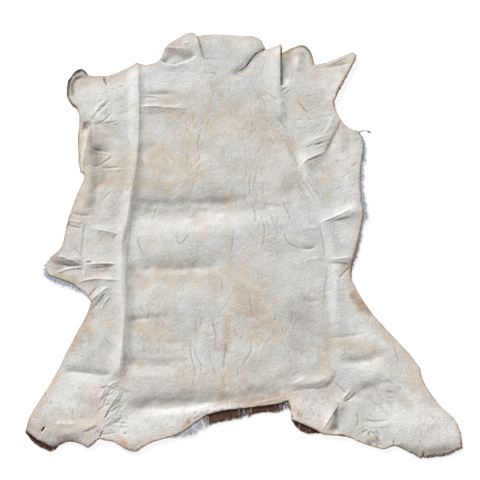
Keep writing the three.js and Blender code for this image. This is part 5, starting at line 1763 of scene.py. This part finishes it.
def make_skin(plan, surface, material):
    """The skin itself: a fine upper face, a plainer underside and a rounded edge between them."""
    details = []
    for crease, route in surface.creases:
        if abs(crease.rise) >= DETAIL_RISE:
            details.append((route, min(max(crease.port, crease.starboard), DETAIL_REACH) + 1))
    for paint in PAINTS:
        if paint.reach < DETAIL_PAINT:
            details.append((np.array(paint.route, float), paint.reach + DETAIL_PAINT_MARGIN))

    def detailed(points):
        close = np.zeros(len(points), bool)
        for route, reach in details:
            chosen = near_box(points, route, reach)
            chosen = chosen[~close[chosen]]
            if len(chosen):
                close[chosen] = follow(points[chosen], route)[0] < reach
        return close

    top_points, top_faces = plan.triangles(plan.lattice(FINE_STEP, detailed))
    low_points, low_faces = plan.triangles(plan.lattice(UNDERSIDE_STEP))
    border_count = sum(len(border) for border in plan.borders)
    top = surface.height(top_points)
    low = surface.height(low_points) - SKIN_THICKNESS
    inner = slice(border_count, None)
    beneath = surface.lowest_near(low_points[inner], UNDERSIDE_REACH) - SKIN_THICKNESS
    low[inner] = np.minimum(low[inner], beneath)
    bulge = np.concatenate([outward(border) for border in plan.borders]) * EDGE_BULGE
    middle = np.concatenate(plan.borders) + bulge
    points, faces = layered(
        np.column_stack([top_points, top]),
        np.column_stack([middle, top[:border_count] - SKIN_THICKNESS / 2]),
        np.column_stack([low_points, low]),
        top_faces,
        low_faces,
    )
    edge = np.tile((linear("pink") + linear("brown")) / 2, (border_count, 1))
    below = np.tile(linear("peach"), (len(low_points), 1))
    colours = np.concatenate([skin_colours(plan, surface, top_points), edge, below])
    return make_piece("skin", points, faces, colours, material, "hide_leather")


def hair_mix(brown, dice):
    """A hair colour for each entry, from white and grey to brown and dark, by how brown the place is."""
    count = len(brown)
    is_brown = dice.uniform(0, 1, count) < brown
    light = blended("white hair", "grey hair", dice.uniform(0, 1, count) ** 2)
    deep = blended("brown hair", "dark hair", dice.uniform(*COAT_DEEP_SPREAD, count))
    return np.clip(np.where(is_brown[:, None], deep, light), DARKEST_HAIR, 1)


def back_brown(points):
    """How brown the coat is away from the edge: brown along the back, white on the belly's flanks."""
    flank = smoothstep((np.abs(points[:, 0] - BACK_MIDDLE) - BACK_HALF_WIDTH) / FLANK_EASE)
    belly = smoothstep((BELLY_HALF_LENGTH - np.abs(points[:, 1] - BELLY_MIDDLE)) / BELLY_EASE)
    return np.clip(BACK_BROWN - FLANK_WHITE * flank * belly + hills("coat brown", points), 0, 1)


def make_coat(plan, surface, material):
    """The dense body of the hair under the skin: a soft slab that follows the skin's underside."""
    ring = plan.ring[::2]
    room = rim_room(ring)
    out = outward(ring)

    def inset(distance, room_share):
        return ring - out * np.minimum(distance, room_share * room)[:, None]

    slab = Plan(inset(COAT_INSET_TOP, COAT_ROOM_TOP))
    points, faces = slab.triangles(slab.lattice(COAT_STEP))
    rim = slice(len(ring))
    top = surface.lowest_near(points, COAT_REACH) - SKIN_THICKNESS - COAT_GAP
    low = np.minimum(COAT_FLOOR + hills("coat floor", points), top - COAT_LEAST_DEPTH)
    low_points = points.copy()
    low_points[rim] = inset(COAT_INSET_BOTTOM, COAT_ROOM_BOTTOM)
    middle_points = inset(COAT_INSET_MIDDLE, COAT_ROOM_MIDDLE)
    places, all_faces = layered(
        np.column_stack([points, top]),
        np.column_stack([middle_points, (top[rim] + low[rim]) / 2]),
        np.column_stack([low_points, low]),
        faces,
        faces,
    )
    brown = back_brown(points)
    brown[rim] = along_rim(ring, HAIR)[1]
    strands = hair_mix(brown, np.random.default_rng(SEED + 1))
    plain = blended("white hair", "brown hair", brown)
    shades = COAT_STRAND_SHARE * strands + (1 - COAT_STRAND_SHARE) * plain
    colours = np.concatenate([shades, shades[rim] * COAT_EDGE_SHADE, shades])
    make_piece("coat", places, all_faces, colours, material, "hair_coat")


def frames(paths):
    """The level and the upright direction across each path, at each of its points."""
    run = unit(np.gradient(paths, axis=-2))
    level = turned_left(run)
    across = unit(np.concatenate([level, np.zeros_like(level[..., :1])], axis=-1))
    return across, np.cross(run, across)


def tube_quads(rings, sides):
    """The faces with four corners between each ring of a tube and the next."""
    spot = np.arange(sides)
    beside = (spot + 1) % sides
    band = np.stack([spot, beside, beside + sides, spot + sides], axis=1)
    return np.concatenate([band + ring * sides for ring in range(rings - 1)])


def grow(paths, widths, flatness, sides):
    """Closed tapering tubes along paths: points and triangles. Paths are strand by section by place."""
    strands, sections, _ = paths.shape
    across, rise = frames(paths)
    rings = []
    for side in range(sides):
        turn = 2 * math.pi * side / sides + math.pi / 2
        shift = across * math.cos(turn) + rise * math.sin(turn) * flatness
        rings.append(paths[:, :-1] + shift[:, :-1] * widths[:, :-1, None] / 2)
    body = np.stack(rings, axis=2).reshape(strands, -1, 3)
    points = np.concatenate([body, paths[:, -1:]], axis=1)
    quads = tube_quads(sections - 1, sides)
    last = (sections - 2) * sides
    tip = (sections - 1) * sides
    tips = [(last + side, last + (side + 1) % sides, tip) for side in range(sides)]
    caps = [(0, side + 1, side) for side in range(1, sides - 1)]
    faces = np.concatenate([quads[:, [0, 1, 2, 0, 2, 3]].reshape(-1, 3), tips, caps])
    per_strand = points.shape[1]
    all_faces = faces[None] + (np.arange(strands) * per_strand)[:, None, None]
    return points.reshape(-1, 3), all_faces.reshape(-1, 3), per_strand


def swept(roots, heading, length, curl, t):
    """Level paths from their roots along their headings, with their tips curled to one side."""
    straight = roots[:, None] + heading[:, None] * (length[:, None] * t)[:, :, None]
    return straight + turned_left(heading)[:, None] * (curl[:, None] * t**2)[:, :, None]


def clump_noise(clump, use):
    """A noise value that all strands of a clump share."""
    return noise(clump * use.spacing, clump * 0 + use.row, CLUMP_SIZE, use.seed)


class Fringe:
    """The hair that shows round the rim, strand by strand: tufts that lean tailwards, or a sleek edge."""

    def __init__(self, plan, surface):
        self.dice = np.random.default_rng(SEED + 2)
        self.stand(plan.ring)
        self.aim()
        self.measure()
        self.shape(surface)
        self.tint()

    def throw(self, low, high):
        """An even random value for each strand."""
        return self.dice.uniform(low, high, STRAND_COUNT)

    def stand(self, ring):
        """Spreads the strands along the rim, densest where the hair shows most."""
        travelled, _ = rim_travel(ring)
        reach, brown, sleek = along_rim(ring, HAIR)
        dense = np.clip(reach / DENSE_REACH, 0, MOST_REACH_DENSITY) + SLEEK_DENSITY * sleek * (reach > 1)
        weight = np.concatenate([[0], np.cumsum((LEAST_DENSITY + dense) * np.gradient(travelled))])
        picks = np.searchsorted(weight, self.throw(0, weight[-1])) - 1
        picks = np.clip(picks, 0, len(ring) - 1)
        slide = self.throw(0, 1)[:, None]
        self.base = ring[picks] * (1 - slide) + ring[(picks + 1) % len(ring)] * slide
        self.out = outward(ring)[picks]
        self.room = rim_room(ring)[picks]
        self.travelled = travelled[picks]
        self.reach = reach[picks]
        self.brown = brown[picks]
        self.shaggy = 1 - sleek[picks]

    def aim(self):
        """Points each strand outwards and to the tail, with its clump."""
        flow = np.array(HAIR_FLOW)
        lean = LEAN + LEAN_TAILWARD * (self.out @ flow > TAILWARD_FROM)
        stray = (STRAY + STRAY_SHAGGY * self.shaggy)[:, None]
        heading = self.out + flow * lean[:, None] + self.dice.normal(0, 1, (STRAND_COUNT, 2)) * stray
        blur = self.dice.normal(0, CLUMP_BLUR, STRAND_COUNT)
        self.clump = np.floor((self.travelled + blur) / CLUMP_LENGTH)
        swing = clump_noise(self.clump, CLUMP_SWAY) * CLUMP_SWING * self.shaggy
        self.heading = unit(heading + turned_left(self.out) * swing[:, None])

    def measure(self):
        """How far each strand shows past the rim, how far inside it is rooted, and how high in the coat."""
        cosine = np.clip((self.heading * self.out).sum(axis=1), LEAST_COSINE, 1)
        tuft = 1 + REACH_SPREAD * self.shaggy * clump_noise(self.clump, CLUMP_REACH)
        self.level = self.throw(0, 1) ** (1 - LEVEL_BIAS * (1 - self.brown))
        shaggy_share = SHORTENING_SLEEK + (1 - SHORTENING_SLEEK) * self.shaggy
        stretch = 1 - self.throw(*SHORTENING_SPREAD) * shaggy_share
        shown = self.reach * tuft * stretch / cosine
        self.inset = np.minimum(self.throw(*ROOT_INSET_SPREAD), ROOT_ROOM_SHARE * self.room)
        self.shown = np.minimum(shown, TIP_ROOM_SHARE * self.room + TIP_ROOM_MORE)
        self.length = np.maximum(self.shown + self.inset, 1.0)

    def shape(self, surface):
        """The strands' paths from under the skin down to the floor, and their widths."""
        root = self.base - self.heading * self.inset[:, None]
        bright = 1 - self.brown
        t = np.linspace(0, 1, len(STRAND_TAPER))
        curl = self.dice.normal(0, 1, STRAND_COUNT) * (CURL + CURL_SHAGGY * self.shaggy) * self.length
        flat = swept(root, self.heading, self.length, curl, t)
        underside = surface.height(root) - SKIN_THICKNESS - ROOT_GAP
        start = ROOT_LEAST + (underside - ROOT_BAND) * self.level
        long = np.maximum(np.clip(self.reach / TIP_REACH, *TIP_REACH_RANGE), TIP_WHITE_LEAST * bright)
        end = TIP_LEAST + (TIP_BROWN * self.brown + TIP_WHITE * bright) * self.level * long
        drop = start[:, None] + (end - start)[:, None] * smoothstep(t)[None]
        bow = np.clip(self.length / LIFT_LENGTH, 0, 1) * (self.level - LIFT_FROM)
        lift = LIFT * np.sin(math.pi * t)[None] * bow[:, None]
        past = (self.length[:, None] * t - self.inset[:, None]) / np.maximum(self.shown, 1)[:, None]
        self.past = np.clip(past, 0, 1)
        under = np.minimum(drop + lift, underside[:, None])
        height = np.where(self.past > 0, drop + lift * (1 + bright)[:, None], under)
        self.paths = np.concatenate([flat, np.maximum(height, STRAND_FLOOR)[:, :, None]], axis=2)
        width = STRAND_WIDTH * self.throw(*STRAND_WIDTH_SPREAD)
        sleek_tip = SLEEK_TIP_WIDTH * (1 - self.shaggy)[:, None] * t[None]
        self.widths = width[:, None] * (np.array(STRAND_TAPER)[None] + sleek_tip)

    def tint(self):
        """A colour for each strand: white to grey with greyer tips, or brown with painted shadow towards the
        root.
        """
        patches = BROWN_PATCHES * self.shaggy * clump_noise(self.clump, CLUMP_BROWN)
        patchy = np.clip(self.brown + patches, 0, 1)
        is_brown = self.throw(0, 1) < np.where(self.brown > BROWN_FROM, patchy, 0)
        light = blended("white hair", "grey hair", self.throw(*LIGHT_SPREAD) ** 2)
        deep = blended("brown hair", "dark hair", self.throw(*DEEP_SPREAD))
        grey = linear("grey hair") / linear("white hair")
        past = self.past[:, :, None]
        light_tip = 1 + (grey - 1) * GREY_TIP * past**2
        # brown strands get painted shadow near the skin's edge, lightening towards the tip
        root_shadow = ROOT_SHADE + ROOT_SHADE_RISE * smoothstep(ROOT_SHADE_SLOPE * past)
        shades = np.where(is_brown[:, None, None], deep[:, None] * root_shadow, light[:, None] * light_tip)
        shades = np.clip(shades, DARKEST_HAIR, 1)
        body = np.repeat(shades[:, :-1], STRAND_SIDES, axis=1)
        self.shades = np.concatenate([body, shades[:, -1:]], axis=1)

    def make(self, parts, material):
        """The pieces, each with every so many of the strands."""
        for part in range(parts):
            chosen = np.arange(part, STRAND_COUNT, parts)
            points, faces, _ = grow(self.paths[chosen], self.widths[chosen], STRAND_FLATNESS, STRAND_SIDES)
            colours = self.shades[chosen].reshape(-1, 3)
            make_piece(f"fringe_{part + 1}", points, [faces], colours, material, "hair_coat")


def make_locks(plan, material):
    """The coat's own face, underneath: flat overlapping locks that run towards the tail."""
    dice = np.random.default_rng(SEED + 3)
    roots = plan.lattice(LOCK_STEP)
    roots = roots + dice.normal(0, LOCK_SHIFT, roots.shape)
    away = smoothstep((np.abs(roots[:, 0]) - LOCK_SPLAY_FROM) / LOCK_SPLAY_EASE) * np.sign(roots[:, 0])
    aside = LOCK_SPLAY * away + hills("lock swing", roots)
    heading = np.stack([aside, np.full(len(roots), -1.0)], axis=1)
    heading = unit(heading + dice.normal(0, LOCK_STRAY, heading.shape))
    length = LOCK_LENGTH * dice.uniform(*LOCK_LENGTH_SPREAD, len(roots))
    for _ in range(LOCK_TRIES):
        outside = ~inside_loop(roots + heading * length[:, None], plan.ring)
        length[outside] *= LOCK_SHORTENING
    held = inside_loop(roots + heading * length[:, None], plan.ring) & inside_loop(roots, plan.ring)
    held &= plan.edge_distance(roots) > LOCK_EDGE
    roots = roots[held]
    heading = heading[held]
    length = length[held]
    count = len(roots)
    t = np.linspace(0, 1, len(LOCK_TAPER))
    curl = dice.normal(0, LOCK_CURL, count) * length
    start = LOCK_ROOT + dice.uniform(*LOCK_ROOT_SPREAD, count)
    end = LOCK_TIP + dice.uniform(*LOCK_TIP_SPREAD, count)
    height = start[:, None] + (end - start)[:, None] * smoothstep(t * LOCK_DROP)[None]
    paths = np.concatenate([swept(roots, heading, length, curl, t), height[:, :, None]], axis=2)
    widths = LOCK_WIDTH * dice.uniform(*LOCK_WIDTH_SPREAD, count)[:, None] * np.array(LOCK_TAPER)[None]
    points, faces, per_strand = grow(paths, widths, LOCK_FLATNESS, LOCK_SIDES)
    points[:, 2] = np.maximum(points[:, 2], LOCK_FLOOR)
    colours = np.repeat(hair_mix(back_brown(roots), dice), per_strand, axis=0)
    make_piece("locks", points, [faces], colours, material, "hair_coat")


def make_string(material):
    """The dried string of skin at the armpit: flat, twisted and knobbed at its end."""
    line = np.array([(point.x, point.y, point.z) for point in STRING])
    wide = np.array([point.width for point in STRING])
    path = spline(line, STRING_STEP)
    share = np.linspace(0, 1, len(path))
    widths = np.interp(share, np.linspace(0, 1, len(wide)), wide)
    across, rise = frames(path)
    twist = share * STRING_TWIST * math.pi
    rings = []
    for side in range(STRING_SIDES):
        turn = 2 * math.pi * side / STRING_SIDES
        flat_across = math.cos(turn) * widths / 2
        flat_rise = math.sin(turn) * widths * STRING_FLATNESS
        moved_across = flat_across * np.cos(twist) - flat_rise * np.sin(twist)
        moved_rise = flat_across * np.sin(twist) + flat_rise * np.cos(twist)
        rings.append(path + across * moved_across[:, None] + rise * moved_rise[:, None])
    points = np.stack(rings, axis=1).reshape(-1, 3)
    x, y, z = (points * STRING_CRUMPLE).T
    wander = hills("string", np.stack([x + z, y], axis=1))
    points[:, 2] = np.maximum(points[:, 2] + STRING_ROUGHNESS * wander, STRING_FLOOR)
    last = (len(path) - 1) * STRING_SIDES
    caps = []
    for side in range(1, STRING_SIDES - 1):
        caps.append((0, side + 1, side))
        caps.append((last, last + side, last + side + 1))
    shade = linear("brown") * STRING_BROWN + linear("dark") * (1 - STRING_BROWN)
    colours = shade * (1 + STRING_TONE * wander[:, None])
    groups = [tube_quads(len(path), STRING_SIDES), np.array(caps)]
    make_piece("string", points, groups, colours, material, "hide_leather")


class Nodes:
    """A short way to write a material's nodes."""

    def __init__(self, name):
        self.material = bpy.data.materials.new(name)
        self.material.use_nodes = True
        self.tree = self.material.node_tree
        self.places = self.add("ShaderNodeTexCoord").outputs["Object"]

    def add(self, kind, inputs=(), **settings):
        """A node with its settings, and its inputs set or linked by name."""
        node = self.tree.nodes.new(kind)
        for name, value in settings.items():
            setattr(node, name, value)
        for name, value in dict(inputs).items():
            self.join(value, node.inputs[name])
        return node

    def join(self, value, socket):
        """Links an output to the socket, or sets the socket's own value."""
        if isinstance(value, bpy.types.NodeSocket):
            self.tree.links.new(value, socket)
        else:
            socket.default_value = value

    def finish(self, *inputs):
        """Sets or links the shader's own inputs by name. Gives the material."""
        shader = self.tree.nodes["Principled BSDF"]
        for group in inputs:
            for name, value in group.items():
                self.join(value, shader.inputs[name])
        return self.material

    def tint(self):
        """The colour that each point of a mesh has."""
        return self.add("ShaderNodeAttribute", attribute_name="tint").outputs["Color"]

    def drawn_out(self, scale):
        """The places, stretched along the hide."""
        return self.add("ShaderNodeMapping", {"Vector": self.places, "Scale": scale}).outputs["Vector"]

    def noise(self, places, scale, detail, roughness):
        """A noise texture's value, at a scale in hills a metre."""
        settings = {"Vector": places, "Scale": scale, "Detail": detail, "Roughness": roughness}
        return self.add("ShaderNodeTexNoise", settings).outputs["Fac"]

    def ramp(self, value, low, high, to_low, to_high):
        """A value moved from one range to another, held at its ends."""
        settings = {"Value": value, "From Min": low, "From Max": high, "To Min": to_low, "To Max": to_high}
        return self.add("ShaderNodeMapRange", settings).outputs["Result"]

    def blend(self, share, first, second, mode="MIX"):
        """Two colours mixed by a share."""
        node = self.add("ShaderNodeMix", data_type="RGBA", blend_type=mode)
        self.join(share, node.inputs["Factor"])
        self.join(first, node.inputs["A"])
        self.join(second, node.inputs["B"])
        return node.outputs["Result"]

    def bump(self, height, distance, strength, before=None):
        """A bump from a height, laid over an earlier one."""
        node = self.add("ShaderNodeBump", {"Height": height, "Distance": distance, "Strength": strength})
        if before is not None:
            self.join(before, node.inputs["Normal"])
        return node.outputs["Normal"]


def colour_of(name):
    """A named colour as a shader wants it."""
    return (*linear(name), 1.0)


def leather_material():
    """Dried flesh side of a hide: matt, faintly fibrous, mottled, with fine pores and shallow wrinkles."""
    nodes = Nodes("hide")
    along = nodes.drawn_out(LEATHER_DRAWN_OUT)

    def grain(row):
        return nodes.noise(along if row.drawn_out else nodes.places, row.scale, row.detail, row.roughness)

    tones = {}
    for row in LEATHER_TONES:
        tones[row.name] = nodes.ramp(grain(row), row.low, row.high, row.first, row.last)
    colour = nodes.blend(tones["mottle"], nodes.tint(), colour_of("tan"))
    colour = nodes.blend(tones["streak"], colour, colour_of("tan"))
    colour = nodes.blend(tones["fleck"], colour, colour_of("pale"))
    colour = nodes.blend(1.0, colour, tones["blotch"], "MULTIPLY")
    colour = nodes.blend(1.0, colour, tones["grain"], "MULTIPLY")
    normal = None
    for row in LEATHER_BUMPS:
        normal = nodes.bump(grain(row), row.depth, row.strength, normal)
    inputs = {"Base Color": colour, "Roughness": tones["polish"], "Normal": normal}
    return nodes.finish(inputs, LEATHER_FINISH)


def hair_material(look):
    """Coarse hair: each strand has its own tint, and the coat's body gets streaks along the flow."""
    nodes = Nodes(look.name)
    tint = nodes.tint()
    along = nodes.drawn_out(HAIR_DRAWN_OUT)
    streak = nodes.noise(along, look.scale, HAIR_STREAK_DETAIL, HAIR_STREAK_ROUGHNESS)
    shade = nodes.ramp(streak, *MIDDLE_NOISE, 0.0, look.darkest)
    dark = nodes.blend(0.5, tint, colour_of("dark hair"))
    inputs = {"Base Color": nodes.blend(shade, tint, dark)}
    if look.depth:
        inputs["Normal"] = nodes.bump(streak, look.depth, HAIR_BUMP_STRENGTH)
    return nodes.finish(inputs, HAIR_FINISH)


def floor_material():
    """A plain pale floor, very slightly uneven in tone."""
    nodes = Nodes("pale_floor")
    tone = nodes.ramp(nodes.noise(nodes.places, *FLOOR_NOISE), *MIDDLE_NOISE, 0.0, 1.0)
    greys = [(grey, grey, grey, 1) for grey in FLOOR_TONES]
    return nodes.finish({"Base Color": nodes.blend(tone, *greys)}, FLOOR_FINISH)


def make_stage():
    """The floor, the soft key light and the even light all round."""
    half = FLOOR_HALF
    mesh = bpy.data.meshes.new("floor")
    corners = [(-half, -half, 0), (half, -half, 0), (half, half, 0), (-half, half, 0)]
    mesh.from_pydata(corners, [], [(0, 1, 2, 3)])
    mesh.materials.append(floor_material())
    floor = bpy.data.objects.new("floor", mesh)
    bpy.context.scene.collection.objects.link(floor)
    lamp = bpy.data.lights.new("key", "SUN")
    lamp.energy = KEY_STRENGTH
    lamp.angle = math.radians(KEY_SPREAD)
    holder = bpy.data.objects.new("key", lamp)
    rise = math.radians(KEY_ELEVATION)
    turn = math.radians(KEY_HEADING)
    place = Vector((math.cos(turn) * math.cos(rise), math.sin(turn) * math.cos(rise), math.sin(rise)))
    holder.location = place * KEY_DISTANCE
    holder.rotation_euler = (-place).to_track_quat("-Z", "Y").to_euler()
    bpy.context.scene.collection.objects.link(holder)
    world = bpy.data.worlds.new("studio")
    world.use_nodes = True
    background = world.node_tree.nodes["Background"]
    background.inputs["Color"].default_value = (1, 1, 1, 1)
    background.inputs["Strength"].default_value = FILL_STRENGTH
    bpy.context.scene.world = world
    bpy.context.scene.view_settings.view_transform = "Standard"


def make_camera():
    """The camera at the photograph's distance and angle."""
    target = Vector(CAMERA_TARGET) * MM
    elevation = math.radians(CAMERA_ELEVATION)
    back = Vector((0, -math.cos(elevation), math.sin(elevation)))
    lens = bpy.data.cameras.new("camera")
    lens.lens = CAMERA_LENS
    lens.sensor_width = CAMERA_SENSOR
    camera = bpy.data.objects.new("camera", lens)
    camera.location = target + back * CAMERA_DISTANCE * MM
    camera.rotation_euler = (-back).to_track_quat("-Z", "Y").to_euler()
    bpy.context.scene.collection.objects.link(camera)
    bpy.context.scene.camera = camera


make_camera()
make_stage()
cad_points, cad_faces = cad_upper_faces("hide_leather")
surface = Surface(Form(cad_points, cad_faces))
plan = Plan(read_rim(cad_points, cad_faces), [cut_loop(cut) for cut in CUTS])
leather = leather_material()
skin = make_skin(plan, surface, leather)
make_string(leather)
strand_hair = hair_material(STRAND_LOOK)
make_coat(plan, surface, hair_material(COAT_LOOK))
Fringe(plan, surface).make(STRAND_PIECES, strand_hair)
make_locks(plan, strand_hair)

bpy.context.view_layer.update()
